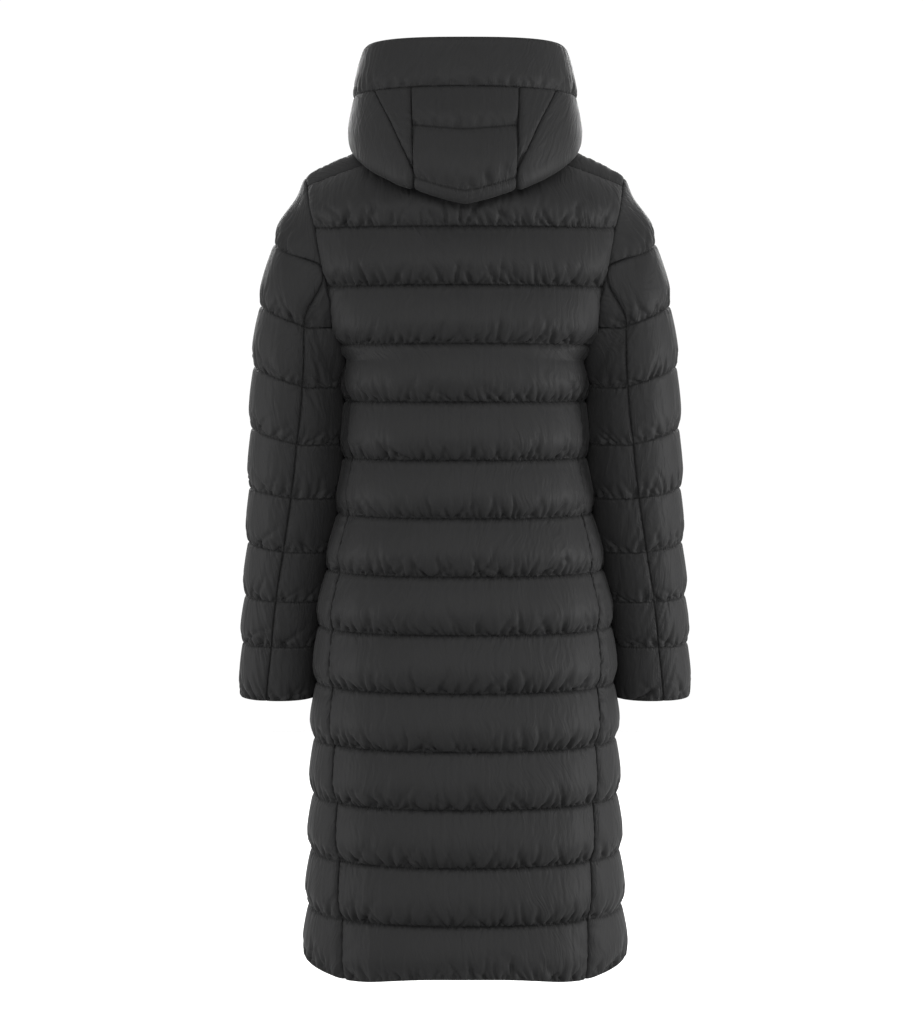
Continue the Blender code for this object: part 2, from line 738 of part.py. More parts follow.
def sleeve_tube(angle, z):
    """A point of the sleeve's tube: angle 0 is its back and pi / 2 its outside."""
    outer_x = sleeve_size("outer_x", z)
    inner_x = sleeve_size("inner_x", z)
    across = signed_power(sin(angle), 2 / SLEEVE_SECTION_POWER)
    along = signed_power(cos(angle), 2 / SLEEVE_SECTION_POWER)
    x = (outer_x + inner_x) / 2 + (outer_x - inner_x) / 2 * across
    y = sleeve_size("middle_y", z) + sleeve_size("half_depth", z) * along
    return Vector((x, y, z))


def sleeve_point(turn, row):
    """A point of a sleeve's column at a row, given as its place between seams."""
    channel = min(int(row), len(SLEEVE_QUILTING) - 2)
    share = row - channel
    upper, lower = SLEEVE_QUILTING[channel], SLEEVE_QUILTING[channel + 1]
    back_z, rise, lean = (mix(high, low, share) for high, low in zip(upper, lower))
    start = armhole_point(turn)
    plain = pi / 2 - turn
    angle = plain + radians(lean) * cos(plain)
    seam = sin(radians(lean) - OUTSIDE_MARGIN)
    outward = max(0.0, (sin(angle) - seam) / (1 - seam))
    z = back_z + rise * outward
    if z > start.z - SHORTEST_ROW:
        return start
    tube = sleeve_tube(angle, z)
    share = ease((start.z - z) / ARMHOLE_BLEND)
    return Vector((mix(start.x, tube.x, share), mix(start.y, tube.y, share), z))


def sleeve_swell(turn):
    plain = pi / 2 - turn
    outward = ease((sin(plain) - INNER_SLEEVE_END) / INNER_SLEEVE_BLEND)
    return mix(INNER_SLEEVE_SWELL, SLEEVE_SWELL, outward)


def make_sleeves(material):
    turns = sleeve_turns()
    count = len(turns)
    rows, row_swells = [], []
    for channel in range(len(SLEEVE_QUILTING) - 1):
        for share, swell in CHANNEL_ROWS:
            rows.append(channel + share)
            row_swells.append(swell)
    rows.append(len(SLEEVE_QUILTING) - 1)
    row_swells.append(0.0)
    points = [[armhole_point(turn) for turn in turns]]
    points += [[sleeve_point(turn, row) for turn in turns] for row in rows[1:]]
    last = len(points) - 1
    normals = []
    for r, row in enumerate(points):
        row_normals = []
        for c, point in enumerate(row):
            if (point - points[0][c]).length < 1e-6:
                row_normals.append(armhole_normal(turns[c]))
                continue
            across = row[(c + 1) % count] - row[c - 1]
            down = points[min(r + 1, last)][c] - points[r - 1][c]
            row_normals.append(across.cross(down).normalized())
        normals.append(row_normals)
    heights = [z for z, swell, seam in BODY_ROWS if z >= CORNER_Z - 1e-6]
    back_seam = min(range(count), key=lambda c: abs(points[0][c].z - SLEEVE_SEAM_Z) - points[0][c].y)
    front_seam = min(range(count), key=lambda c: abs(points[0][c].z - SLEEVE_SEAM_Z) + points[0][c].y)
    seam_rows = [i for i, swell in enumerate(row_swells) if swell == 0.0]
    spans = {
        "sleeve_top": list(range(back_seam, front_seam + 1)),
        "sleeve_under": list(range(front_seam, count)) + list(range(back_seam + 1)),
    }
    for name, columns in spans.items():
        panel_points = [[row[c] for c in columns] for row in points]
        panel_normals = [[row[c] for c in columns] for row in normals]
        swells = []
        for r, row in enumerate(points):
            line = []
            for place, c in enumerate(columns):
                at_edge = place in (0, len(columns) - 1)
                near_edge = place in (1, len(columns) - 2)
                fade = 0.0 if at_edge else SIDE_SWELL_SHARE if near_edge else 1.0
                below_armhole = points[0][c].z - row[c].z
                fade *= ease((below_armhole - ARMHOLE_FADE_START) / ARMHOLE_FADE)
                line.append(sleeve_swell(turns[c]) * row_swells[r] * fade)
            swells.append(line)
        make_pair(name, material, panel_points, panel_normals, swells, seam_rows)


# --- Hood ----------------------------------------------------------------
def hood_size(name, level):
    place = HOOD_COLUMNS.index(name)
    low = min(int(level), len(HOOD_LEVELS) - 2)
    return mix(HOOD_LEVELS[low][place], HOOD_LEVELS[low + 1][place], level - low)


def hood_point(turn, level):
    """A point of the hood: turn 0 at the back and pi at the front."""
    half_width, back_y, front_y, back_z, side_z, front_z, power = (
        hood_size(name, level) for name in HOOD_COLUMNS[:7])
    x = half_width * signed_power(sin(turn), 2 / power)
    y = (back_y if cos(turn) >= 0 else front_y) * signed_power(cos(turn), 2 / power)
    quarter = abs(turn) / (pi / 2)
    if quarter <= 1:
        z = mix(back_z, side_z, quarter ** BACK_TURN_POWER)
    else:
        z = mix(side_z, front_z, ease(quarter - 1))
    return Vector((x, y, z))


def hood_edge(turn):
    """Point and normal of the hood's lowest edge, sewn to the neckline."""
    point, normal = neck_edge(abs(turn))
    side = 1 if turn >= 0 else -1
    return Vector((side * point.x, point.y, point.z)), Vector((side * normal.x, normal.y, normal.z))


def hood_normal(turn, level):
    top = len(HOOD_LEVELS) - 1
    across = hood_point(turn + 0.02, level) - hood_point(turn - 0.02, level)
    up = hood_point(turn, min(level + 0.3, top)) - hood_point(turn, level - 0.3)
    return up.cross(across).normalized()


def gusset_edge(level):
    """Turn of the hood's slanted seam, which runs into the strip's seam at the tip."""
    share = (level - GUSSET_TIP_LEVEL) / (BRIM_SEAM_LEVEL - GUSSET_TIP_LEVEL)
    return STRIP_TURN + GUSSET_TURN * max(0.0, share)


def evenly(first, last, steps):
    return [mix(first, last, step / steps) for step in range(steps + 1)]


def hood_turns(panel, level):
    """Turns of a panel's columns at a level.  At the neckline they keep the body's points."""
    if panel == "centre" and level == 0:
        inner = NECK_SEAM_TURN / NECK_STEPS
        return [-STRIP_TURN] + evenly(-inner, inner, STRIP_STEPS - 2) + [STRIP_TURN]
    if panel == "side" and level == 0:
        kept = evenly(NECK_SEAM_TURN, NECK_START_TURN, HOOD_SIDE_STEPS)[:-2]
        return [STRIP_TURN] + kept + [HOOD_END_TURN]
    if panel == "centre":
        return evenly(-STRIP_TURN, STRIP_TURN, STRIP_STEPS)
    if panel == "gusset":
        return evenly(STRIP_TURN, gusset_edge(level), GUSSET_STEPS)
    if panel == "side":
        return evenly(gusset_edge(level), HOOD_END_TURN, HOOD_SIDE_STEPS)
    half = hood_turns("gusset", BRIM_SEAM_LEVEL)[1:] + hood_turns("side", BRIM_SEAM_LEVEL)[1:]
    return [-turn for turn in reversed(half)] + hood_turns("centre", level) + half


def hood_panel(name, material, panel, levels):
    points, normals, swells = [], [], []
    for level in levels:
        turns = hood_turns(panel, level)
        if level == 0:
            edge = [hood_edge(turn) for turn in turns]
            points.append([point for point, normal in edge])
            normals.append([normal for point, normal in edge])
        else:
            points.append([hood_point(turn, level) for turn in turns])
            normals.append([hood_normal(turn, level) for turn in turns])
        swell = hood_size("swell", level) * HOOD_SWELL
        swells.append([0.0] + [swell] * (len(turns) - 2) + [0.0])
    rows = list(range(len(levels)))
    if panel in ("centre", "brim"):
        make_wall(name, material, points, normals, swells, rows)
    else:
        make_pair(name, material, points, normals, swells, rows)


def make_hood(material):
    top = len(HOOD_LEVELS) - 1
    levels = sorted(list(range(BRIM_SEAM_LEVEL + 1)) + [GUSSET_TIP_LEVEL])
    tip = GUSSET_TIP_LEVEL + GUSSET_TIP_STEP
    hood_panel("hood_centre", material, "centre", levels)
    hood_panel("hood_gusset", material, "gusset", [tip] + [level for level in levels if level > tip])
    hood_panel("hood_side", material, "side", levels)
    hood_panel("hood_brim", material, "brim", list(range(BRIM_SEAM_LEVEL, top + 1)))


# --- Zip -----------------------------------------------------------------
def front_line():
    """Heights and depths of the coat's centre front, from the neck to the hem."""
    neck = neck_point(NECK_START_TURN)[0]
    line = [(neck.z, neck.y)]
    for z in TAPE_BENDS_Z:
        over = shoulder_turn_at(0.0, z, -1)
        line.append((z, shoulder_point(0.0, over).y))
    line += [(z, body_point(0.0, z, -1).y) for z, swell, seam in BODY_ROWS if seam]
    return line


def make_tapes(material):
    line = front_line()
    for side, label in ((1, "left"), (-1, "right")):
        mesh = bmesh.new()
        rings = []
        for z, y in line:
            back = y - WALL + TAPE_THICKNESS
            rings.append([mesh.verts.new((side * x, depth, z)) for x, depth in (
                (TAPE_INNER_X, back), (FRONT_EDGE_X - HALF_GAP, back),
                (FRONT_EDGE_X - HALF_GAP, back - TAPE_THICKNESS), (TAPE_INNER_X, back - TAPE_THICKNESS))])
        for upper, lower in zip(rings, rings[1:]):
            for c in range(4):
                mesh.faces.new((upper[c], upper[(c + 1) % 4], lower[(c + 1) % 4], lower[c]))
        mesh.faces.new(rings[0])
        mesh.faces.new(rings[-1])
        bmesh.ops.recalc_face_normals(mesh, faces=mesh.faces[:])
        data = bpy.data.meshes.new("zip_tape")
        mesh.to_mesh(data)
        mesh.free()
        add_object("zip_tape_" + label, data, material, smooth=False)


def box_mesh(size, middle):
    mesh = bmesh.new()
    bmesh.ops.create_cube(mesh, size=1.0)
    bmesh.ops.scale(mesh, vec=size, verts=mesh.verts[:])
    bmesh.ops.translate(mesh, vec=middle, verts=mesh.verts[:])
    data = bpy.data.meshes.new("box")
    mesh.to_mesh(data)
    mesh.free()
    return data


def cutter(name, size, middle):
    thing = bpy.data.objects.new(name, box_mesh(size, middle))
    cutters.objects.link(thing)
    thing.hide_render = True
    thing.display_type = "WIRE"
    return thing


def bevel_edges(thing):
    bevel = thing.modifiers.new("edges", "BEVEL")
    bevel.width = METAL_BEVEL
    bevel.segments = 1


def add_boolean(thing, other, operation):
    boolean = thing.modifiers.new(other.name, "BOOLEAN")
    boolean.object = other
    boolean.operation = operation


def tape_front(z):
    """Depth of the tapes' front face at a height."""
    line = front_line()
    for (upper_z, upper_y), (lower_z, lower_y) in zip(line, line[1:]):
        if z >= lower_z:
            return mix(lower_y, upper_y, (z - lower_z) / (upper_z - lower_z)) - WALL
    return line[-1][1] - WALL


def make_slider_and_pull(metal):
    """The slider with its bridge, and the pull whose cross bar lies under the bridge."""
    top_z, bend_z = front_line()[0][0], TAPE_BENDS_Z[0]
    middle_z = (top_z + bend_z) / 2
    seat = bpy.data.objects.new("zip_seat", None)
    coat.objects.link(seat)
    seat.location = (0, tape_front(middle_z), middle_z)
    seat.rotation_euler.x = -atan2(tape_front(top_z) - tape_front(bend_z), top_z - bend_z)

    plate_y = -2 * HALF_GAP - SLIDER_SIZE[1] / 2
    plate_front = plate_y - SLIDER_SIZE[1] / 2
    slider = add_object("zip_slider", box_mesh(SLIDER_SIZE, (0, plate_y, 0)), metal, smooth=False)
    bevel_edges(slider)
    block = (BRIDGE_WIDTH, BRIDGE_HEIGHT + BRIDGE_ROOT, BRIDGE_LENGTH)
    bridge = cutter("bridge", block, (0, plate_front - (BRIDGE_HEIGHT - BRIDGE_ROOT) / 2, 0))
    hole = (BRIDGE_WIDTH * 2, BRIDGE_HEIGHT - BRIDGE_BAR + BRIDGE_CUT, BRIDGE_LENGTH - 2 * BRIDGE_BAR)
    passage = cutter("bridge_hole", hole, (0, plate_front + BRIDGE_CUT - hole[1] / 2, 0))
    add_boolean(slider, bridge, "UNION")
    add_boolean(slider, passage, "DIFFERENCE")

    axis_y = plate_front - (BRIDGE_HEIGHT - BRIDGE_BAR) / 2
    axis_z = -BRIDGE_LENGTH / 2 + BRIDGE_BAR + PULL_BAR_RADIUS + 2 * HALF_GAP
    axis = bpy.data.objects.new("zip_pull_axis", None)
    coat.objects.link(axis)
    axis.location = seat.location + Vector((0, axis_y, axis_z)) @ seat.rotation_euler.to_matrix().inverted()
    axis.rotation_euler.x = seat.rotation_euler.x + PULL_LEAN
    plate = box_mesh((PULL_WIDTH, PULL_THICKNESS, PULL_LENGTH), (0, 0, PULL_BAR_RADIUS - PULL_LENGTH / 2))
    pull = add_object("zip_pull", plate, metal, smooth=False)
    bevel_edges(pull)
    window_z = -PULL_BAR_RADIUS - PULL_WINDOW / 2
    window = cutter("pull_window", (PULL_WIDTH - 2 * PULL_ARM, 0.01, PULL_WINDOW), (0, 0, window_z))
    add_boolean(pull, window, "DIFFERENCE")
    for piece, holder in ((slider, seat), (bridge, seat), (passage, seat), (pull, axis), (window, axis)):
        piece.parent = holder


# --- Coat ----------------------------------------------------------------
for old in list(bpy.data.objects):
    bpy.data.objects.remove(old)
coat = bpy.data.collections.new("long_puffer_coat")
cutters = bpy.data.collections.new("cutters")
for collection in (coat, cutters):
    bpy.context.scene.collection.children.link(collection)

shell = new_material("dark_shell", (0.032, 0.032, 0.033), 0.62)
tape = new_material("zip_tape", (0.018, 0.018, 0.018), 0.75)
zip_metal = new_material("zip_metal", (0.05, 0.05, 0.05), 0.38, 0.9)

make_back(shell)
make_sides(shell)
make_fronts(shell)
make_sleeves(shell)
make_hood(shell)
make_tapes(tape)
make_slider_and_pull(zip_metal)
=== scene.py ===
"""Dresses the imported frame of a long, hooded, quilted coat in padded cloth.

Metres, +Z up.  The front faces -Y and the wearer's left is +X.  Every sewn panel
is a grid of points over its plain inside surface.  Its outer cloth is cut wider
than its seams, filled, and left to settle by a small cloth simulation.
"""
from math import atan2, cos, pi, radians, sin

import bmesh
import bpy
import numpy as np
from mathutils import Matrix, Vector


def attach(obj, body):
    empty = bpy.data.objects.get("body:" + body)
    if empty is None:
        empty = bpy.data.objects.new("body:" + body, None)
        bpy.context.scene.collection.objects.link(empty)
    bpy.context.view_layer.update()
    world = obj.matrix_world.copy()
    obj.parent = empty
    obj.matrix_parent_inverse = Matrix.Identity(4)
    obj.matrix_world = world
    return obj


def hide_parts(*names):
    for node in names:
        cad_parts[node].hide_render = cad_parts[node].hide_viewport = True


bl_info = {
    "name": "Long Quilted Coat",
    "version": (1, 0, 0),
    "blender": (4, 5, 0),
    "location": "View3D > Sidebar > Coat",
    "description": "Dresses a coat's frame in padded, quilted cloth, with its hood and zip",
    "category": "Add Mesh",
}

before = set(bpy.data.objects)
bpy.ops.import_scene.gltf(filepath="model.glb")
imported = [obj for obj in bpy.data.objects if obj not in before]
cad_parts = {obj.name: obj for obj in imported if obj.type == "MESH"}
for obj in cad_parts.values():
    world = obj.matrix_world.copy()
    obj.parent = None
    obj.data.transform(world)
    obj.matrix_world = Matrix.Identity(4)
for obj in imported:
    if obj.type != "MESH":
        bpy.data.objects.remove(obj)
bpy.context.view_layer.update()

# --- Sizes of the coat's cut, the same as its frame's ---------------------
# Rough sizes of the panels, from which their cloth is divided, and the fewest divisions.
BACK_WIDTH = 0.44
FRONT_WIDTH = 0.24
SIDE_WIDTH = 0.23
SLEEVE_TOP_WIDTH = 0.30
SLEEVE_UNDER_WIDTH = 0.20
BACK_YOKE_LENGTH = 0.095
FRONT_YOKE_LENGTH = 0.215
LEAST_COLUMNS = 8
LEAST_ROWS = 3
LEAST_CHANNEL_ROWS = 4

YOKE_Z = -0.125
QUILT_PITCH = 0.0733
CHANNELS_BELOW_YOKE = 13
HEM_Z = -1.069
SECTION_POWER = 2.3
BODY_SECTIONS = np.array((
    # z, half width, half depth, y of the side seam
    (-0.345, 0.150, 0.120, 0.042),
    (-0.418, 0.151, 0.118, 0.049),
    (-0.491, 0.159, 0.119, 0.054),
    (-0.565, 0.173, 0.123, 0.059),
    (-0.638, 0.184, 0.126, 0.063),
    (-0.711, 0.187, 0.128, 0.068),
    (-0.858, 0.191, 0.130, 0.080),
    (-1.005, 0.197, 0.132, 0.092),
    (-1.069, 0.200, 0.133, 0.098),
))
YOKE_HALF_DEPTH = 0.116
SHOULDER_POWER = 1.6
RIDGE_HEIGHT = 0.038
RIDGE_SLOPE = 0.45
RIDGE_ROUNDING = 0.05
ARMHOLE_TOP_X = 0.205
ARMHOLE_LOW_X = 0.163
ARMHOLE_LOW_Z = -0.283
ARMHOLE_HALF_DEPTH = 0.070
ARMHOLE_NARROWING = 1.2
ARMHOLE_TOP_FACING = (0.68, 0.73)
ARMHOLE_SIDE_FACING = (0.2, 0.98)
ARMHOLE_LOW_FACING = (0.1, -1.0)
SEAM_END_TURN = radians(26.6)
NECK_HALF_WIDTH = 0.082
NECK_BACK_Y = 0.070
NECK_FRONT_Y = 0.098
NECK_SEAM_TURN = radians(35)
NECK_START_TURN = radians(173.7)
NECK_BACK_DROP = 0.27
NECK_SIDE_RISE = 0.12
NECK_SHARE = 0.38
YOKE_FRONT_STEPS = 9
YOKE_CHANNEL_STEPS = 3
CORNER_HALF_DEPTH = 0.121
LIP_DROP = 0.022
LIP_POWER = 0.7
FRONT_EDGE_X = 0.0085
FRONT_COLUMN_POWER = 1.15
NECK_TURN_SHARE = 0.09

WALL = 0.003
SEAM_WALL = 0.0016
BACK_SWELL = 0.0155
SIDE_SWELL = 0.009
LOW_SIDE_SWELL = 0.0105
SIDE_FADE_START = 0.75
FULLER_SIDE_Z = -0.70
FULLER_SIDE_DROP = 0.06
YOKE_SWELL_SHARE = 0.7
FRONT_YOKE_SWELL_SHARE = 0.35
SLEEVE_SWELL = 0.0078
INNER_SLEEVE_SWELL = 0.010
INNER_SLEEVE_END = -0.9
INNER_SLEEVE_BLEND = 0.8
HOOD_SWELL = 0.0065
EDGE_BEND_START = 0.75
COLUMN_BEND = 1.1
SEAM_TURN_REACH = 0.022
RISE_END = 0.66
RISE_POWER = 1.5
QUICK_RISE = 0.16
QUICK_RISE_REACH = 0.022
ROW_CROWDING = 0.55
FALL_POWER = 1.9
SEAM_DEPTH = 0.92
SIDE_SEAM_DEPTH = 0.6
SLEEVE_SEAM_DEPTH = 0.5
INNER_SEAM_DEPTH = 0.12
HOOD_SEAM_DEPTH = 0.85
HOOD_SIDE_REACH = 0.008
HOOD_SIDE_TURNS = (0.55, 1.1)
HOOD_SIDE_DEPTH = 0.45
OPEN_SEAM_DEPTH = 0.2
OPEN_REACH = 0.03
SIDE_SEAM_SHARE = 0.35
SLEEVE_SEAM_SHARE = 0.6
SIDE_REACH = 0.013
SLEEVE_ROW_MARGIN = 0.03
SLEEVE_TOP_REACH = 0.018
ROOM_GROWTH = 1.3

SLEEVE_SECTION_POWER = 2.2
SLEEVE_SECTIONS = np.array((
    # z, outer x, inner x, middle y, half depth
    (-0.057, 0.205, 0.185, 0.000, 0.030),
    (-0.100, 0.226, 0.175, 0.000, 0.055),
    (-0.145, 0.241, 0.168, -0.001, 0.068),
    (-0.222, 0.259, 0.172, -0.004, 0.075),
    (-0.300, 0.268, 0.171, -0.007, 0.077),
    (-0.380, 0.272, 0.170, -0.013, 0.075),
    (-0.458, 0.275, 0.173, -0.019, 0.071),
    (-0.530, 0.278, 0.184, -0.026, 0.067),
    (-0.602, 0.283, 0.196, -0.033, 0.063),
    (-0.667, 0.287, 0.2025, -0.038, 0.059),
    (-0.735, 0.289, 0.2065, -0.042, 0.056),
))
SLEEVE_QUILTING = np.array((
    # z at the back, rise on the outside of the arm, lean of the long seams in degrees
    (-0.1000, 0.060, -4),
    (-0.1778, 0.035, -6),
    (-0.2511, 0.029, -8),
    (-0.3270, 0.027, -7),
    (-0.4000, 0.020, -1),
    (-0.4690, 0.011, 3),
    (-0.5390, 0.009, 6),
    (-0.6040, 0.003, 9),
    (-0.6640, 0.000, 11),
    (-0.7350, 0.000, 16),
))
SLEEVE_SEAM_Z = -0.1778
ARMHOLE_BLEND = 0.065
OUTSIDE_MARGIN = radians(8)

HOOD_LEVELS = np.array((
    # half width, back y, front y, back z, side z, front z, power
    (0.082, 0.070, 0.098, -0.0278, -0.0052, -0.068, 2.0),
    (0.104, 0.096, 0.108, -0.020, 0.011, -0.052, 2.1),
    (0.124, 0.123, 0.120, -0.047, 0.005, -0.053, 2.2),
    (0.135, 0.139, 0.126, -0.081, -0.003, -0.054, 2.3),
    (0.1405, 0.149, 0.129, -0.094, -0.006, -0.050, 2.3),
    (0.142, 0.155, 0.129, -0.084, 0.000, -0.043, 2.3),
    (0.143, 0.151, 0.128, -0.046, 0.010, -0.036, 2.35),
    (0.142, 0.141, 0.126, -0.008, 0.021, -0.030, 2.4),
    (0.140, 0.130, 0.123, 0.022, 0.034, -0.025, 2.5),
    (0.138, 0.121, 0.119, 0.048, 0.046, -0.019, 2.6),
    (0.1365, 0.119, 0.118, 0.061, 0.059, -0.011, 2.65),
    (0.132, 0.114, 0.115, 0.084, 0.084, 0.003, 2.7),
    (0.126, 0.108, 0.112, 0.103, 0.103, 0.012, 2.8),
))
BRIM_SEAM_LEVEL = 9
TOP_LEVEL = 12
BACK_TURN_POWER = 1.15
HOOD_END_TURN = radians(172.8)
STRIP_TURN = radians(23)
GUSSET_TURN = radians(27.3)
GUSSET_TIP_LEVEL = 5.3
NECK_LEAD = 0.8
HOOD_LEVEL_HEIGHT = 0.027
BRIM_RISE = 0.007
BRIM_RISE_TURN = radians(100)
HEM_DROOP = 0.010
NORMAL_TURN = 0.02
NORMAL_DROP = 0.002
NORMAL_LEVEL = 0.3
# Share of the hood's swell at levels between its seams.
HOOD_CROWN = {0: 0.3, 5: 0.85, 9: 0.6}
BRIM_CROWN = {9: 0.55, 12: 0.35}
GUSSET_LEVELS = (9, 7, 5.42)

# --- How the cloth gathers ------------------------------------------------
# Share of extra cloth at a seam, and how far it reaches.
LOW_GATHER = (0.09, 0.013)
TOP_GATHER = (0.03, 0.006)
SIDE_GATHER = (0.04, 0.012)
# Small folds: spacing, shortest and longest, deepest, and how much they lean.
LOW_FOLDS = (0.0060, 0.008, 0.040, 0.0050, 0.7)
TOP_FOLDS = (0.0085, 0.004, 0.016, 0.0010, 0.35)
SIDE_FOLDS = (0.0110, 0.008, 0.026, 0.0030, 0.35)
FOLD_WIDTH = (0.0014, 0.0032)
FOLD_DEPTHS = (0.35, 1)
FOLD_GAPS = (0.5, 1.5)
FOLD_SPREAD = 0.8
FOLD_CLEAR = 0.003
FOLD_DRAW = 7
SIDE_DRAW = 99
FULL_SWELL = 0.010
FULL_CHANNEL = 0.06
SLACK = 0.006
UNEVENNESS = 0.9
GATHER_PATCH = 0.045
COARSE_FOLD = 0.011
FINE_FOLD = 0.0055
STREAK = 0.0035
COARSE_GROWTH = 1.2
FINE_GROWTH = (2.0, 0.9)
STREAK_SHARE = 0.4
FOLD_START = 0.0004
PUSH = 0.000008
INSIDE_STEP = 6
PUCKER_REACH = 0.012
# Width of the painted shade that darkens the cloth along each quilting seam's crease.
SEAM_SHADE_WIDTH = 0.0022
MERGE = 0.00002
SHARP_ANGLE = radians(70)

# --- Zip, floor and camera ------------------------------------------------
NECK_LINE_POINTS = 10
FRONT_LINE_POINTS = 120
TOOTH_PITCH = 0.0024
TEETH_MARGIN = 0.002
TOOTH_SLOPE_STEP = 0.001
TOOTH_STANDOFF = 0.0006
# A tooth's neck and its head: nearest and farthest x, and half width.
TOOTH_PARTS = ((-0.0009, 0.0012, 0.00065), (0.0012, 0.0038, 0.0009))
# Rings of a tooth's corners: height over its middle, and how far they draw in.
TOOTH_RINGS = ((-0.0005, 0.0), (0.0003, 0.0), (0.0006, 0.0002))
FLOOR_RADIUS = 4.2
FLOOR_CORNERS = 96
CAMERA_X = 0.0039
SENSOR_WIDTH = 36.0


# --- Numbers along curves -------------------------------------------------
def mix(first, second, share):
    return first + (second - first) * share


def ease(share):
    """Go from 0 to 1 with level ends."""
    share = np.clip(share, 0.0, 1.0)
    return share * share * (3 - 2 * share)


def signed_power(value, power):
    return np.sign(value) * np.abs(value) ** power


def read_table(places, values, at):
    """Values between a table's rows, on a smooth curve through them."""
    slopes = np.gradient(values, places)
    row = np.clip(np.searchsorted(places, at) - 1, 0, len(places) - 2)
    step = places[row + 1] - places[row]
    t = np.clip((at - places[row]) / step, 0.0, 1.0)
    rise = values[row + 1] - values[row]
    start, end = slopes[row] * step, slopes[row + 1] * step
    return values[row] + t * (start + t * (3 * rise - 2 * start - end + t * (start + end - 2 * rise)))


def read_down(table, column, z):
    """Values of a table whose rows go down from its first height."""
    return read_table(table[::-1, 0], table[::-1, column], z)


def unit(vectors):
    length = np.linalg.norm(vectors, axis=-1, keepdims=True)
    return vectors / np.maximum(length, 1e-9)


def stack(x, y, z):
    return np.stack(np.broadcast_arrays(x, y, z), axis=-1).astype(float)


def wandering(places, pitch, seed):
    """A smooth random line between -1 and 1, with a turn about every pitch."""
    draw = np.random.default_rng(seed)
    start = places.min() - 2 * pitch
    count = int((places.max() - start) / pitch) + 4
    heights = draw.uniform(-1, 1, count)
    place = (places - start) / pitch
    low = np.clip(place.astype(int), 0, count - 2)
    return mix(heights[low], heights[low + 1], ease(place - low))


# --- Shape of the body ----------------------------------------------------
def ridge_z(x):
    return RIDGE_HEIGHT - RIDGE_SLOPE * np.hypot(x, RIDGE_ROUNDING)


ARMHOLE_TOP_Z = float(ridge_z(ARMHOLE_TOP_X))
ARMHOLE_MIDDLE_Z = (ARMHOLE_TOP_Z + ARMHOLE_LOW_Z) / 2
ARMHOLE_HALF_HEIGHT = (ARMHOLE_TOP_Z - ARMHOLE_LOW_Z) / 2
CORNER_Z = YOKE_Z - 2 * QUILT_PITCH
FIRST_SIDE_SEAM_Z = CORNER_Z - QUILT_PITCH


def armhole_turn(z):
    """Angle round the armhole from the shoulder, at which its back edge is at a height."""
    return np.arccos(np.clip((z - ARMHOLE_MIDDLE_Z) / ARMHOLE_HALF_HEIGHT, -1, 1))


def armhole_x(turn):
    return mix(ARMHOLE_LOW_X, ARMHOLE_TOP_X, ((1 + np.cos(turn)) / 2) ** ARMHOLE_NARROWING)


def armhole_z(turn):
    return ARMHOLE_MIDDLE_Z + ARMHOLE_HALF_HEIGHT * np.cos(turn)


def section_half_width(edge_x, edge_y, half_depth):
    return edge_x / (1 - np.abs(edge_y / half_depth) ** SECTION_POWER) ** (1 / SECTION_POWER)


def section_y(x, half_width, half_depth):
    reach = np.maximum(0.0, 1 - np.abs(x / half_width) ** SECTION_POWER)
    return half_depth * reach ** (1 / SECTION_POWER)


YOKE_TURN = float(armhole_turn(YOKE_Z))
YOKE_EDGE_X = float(armhole_x(YOKE_TURN))
YOKE_EDGE_Y = ARMHOLE_HALF_DEPTH * sin(YOKE_TURN)
YOKE_HALF_WIDTH = float(section_half_width(YOKE_EDGE_X, YOKE_EDGE_Y, YOKE_HALF_DEPTH))


def shoulder_point(x, turn):
    """Points over the shoulder: turn 0 is at the yoke's back, pi at its front."""
    depth = section_y(x, YOKE_HALF_WIDTH, YOKE_HALF_DEPTH)
    y = depth * signed_power(np.cos(turn), 2 / SHOULDER_POWER)
    z = YOKE_Z + (ridge_z(x) - YOKE_Z) * np.abs(np.sin(turn)) ** (2 / SHOULDER_POWER)
    return stack(x, y, z)


def shoulder_turn(x, y):
    depth = section_y(x, YOKE_HALF_WIDTH, YOKE_HALF_DEPTH)
    turn = np.arccos(np.minimum(1.0, np.abs(y) / depth) ** (SHOULDER_POWER / 2))
    return np.where(y >= 0, turn, pi - turn)


def armhole_place(turn):
    """Where the armhole runs over the shoulder, as x and turn."""
    x = armhole_x(turn)
    z = armhole_z(turn)
    share = np.clip((z - YOKE_Z) / (ridge_z(x) - YOKE_Z), 0.0, 1.0)
    over = np.arcsin(share ** (SHOULDER_POWER / 2))
    return x, np.where(np.sin(turn) >= 0, over, pi - over)


def armhole_point(turn):
    turn = np.asarray(turn, dtype=float)
    z = armhole_z(turn)
    low = stack(armhole_x(turn), ARMHOLE_HALF_DEPTH * np.sin(turn), z)
    return np.where((z >= YOKE_Z)[..., None], shoulder_point(*armhole_place(turn)), low)


def armhole_normal(turn):
    """Direction through the cloth where body and sleeve meet."""
    top, bottom = np.maximum(np.cos(turn), 0), np.maximum(-np.cos(turn), 0)
    outward = (ARMHOLE_TOP_FACING[0] * top + ARMHOLE_SIDE_FACING[0] * np.abs(np.sin(turn))
               + ARMHOLE_LOW_FACING[0] * bottom)
    upward = ARMHOLE_TOP_FACING[1] * top + ARMHOLE_LOW_FACING[1] * bottom
    return unit(stack(outward, ARMHOLE_SIDE_FACING[1] * np.sin(turn), upward))


CORNER = armhole_point(armhole_turn(CORNER_Z))
CORNER_HALF_WIDTH = float(section_half_width(CORNER[0], CORNER[1], CORNER_HALF_DEPTH))
HIP_TABLE = np.vstack(((CORNER_Z, CORNER_HALF_WIDTH, CORNER_HALF_DEPTH, CORNER[1]), BODY_SECTIONS))


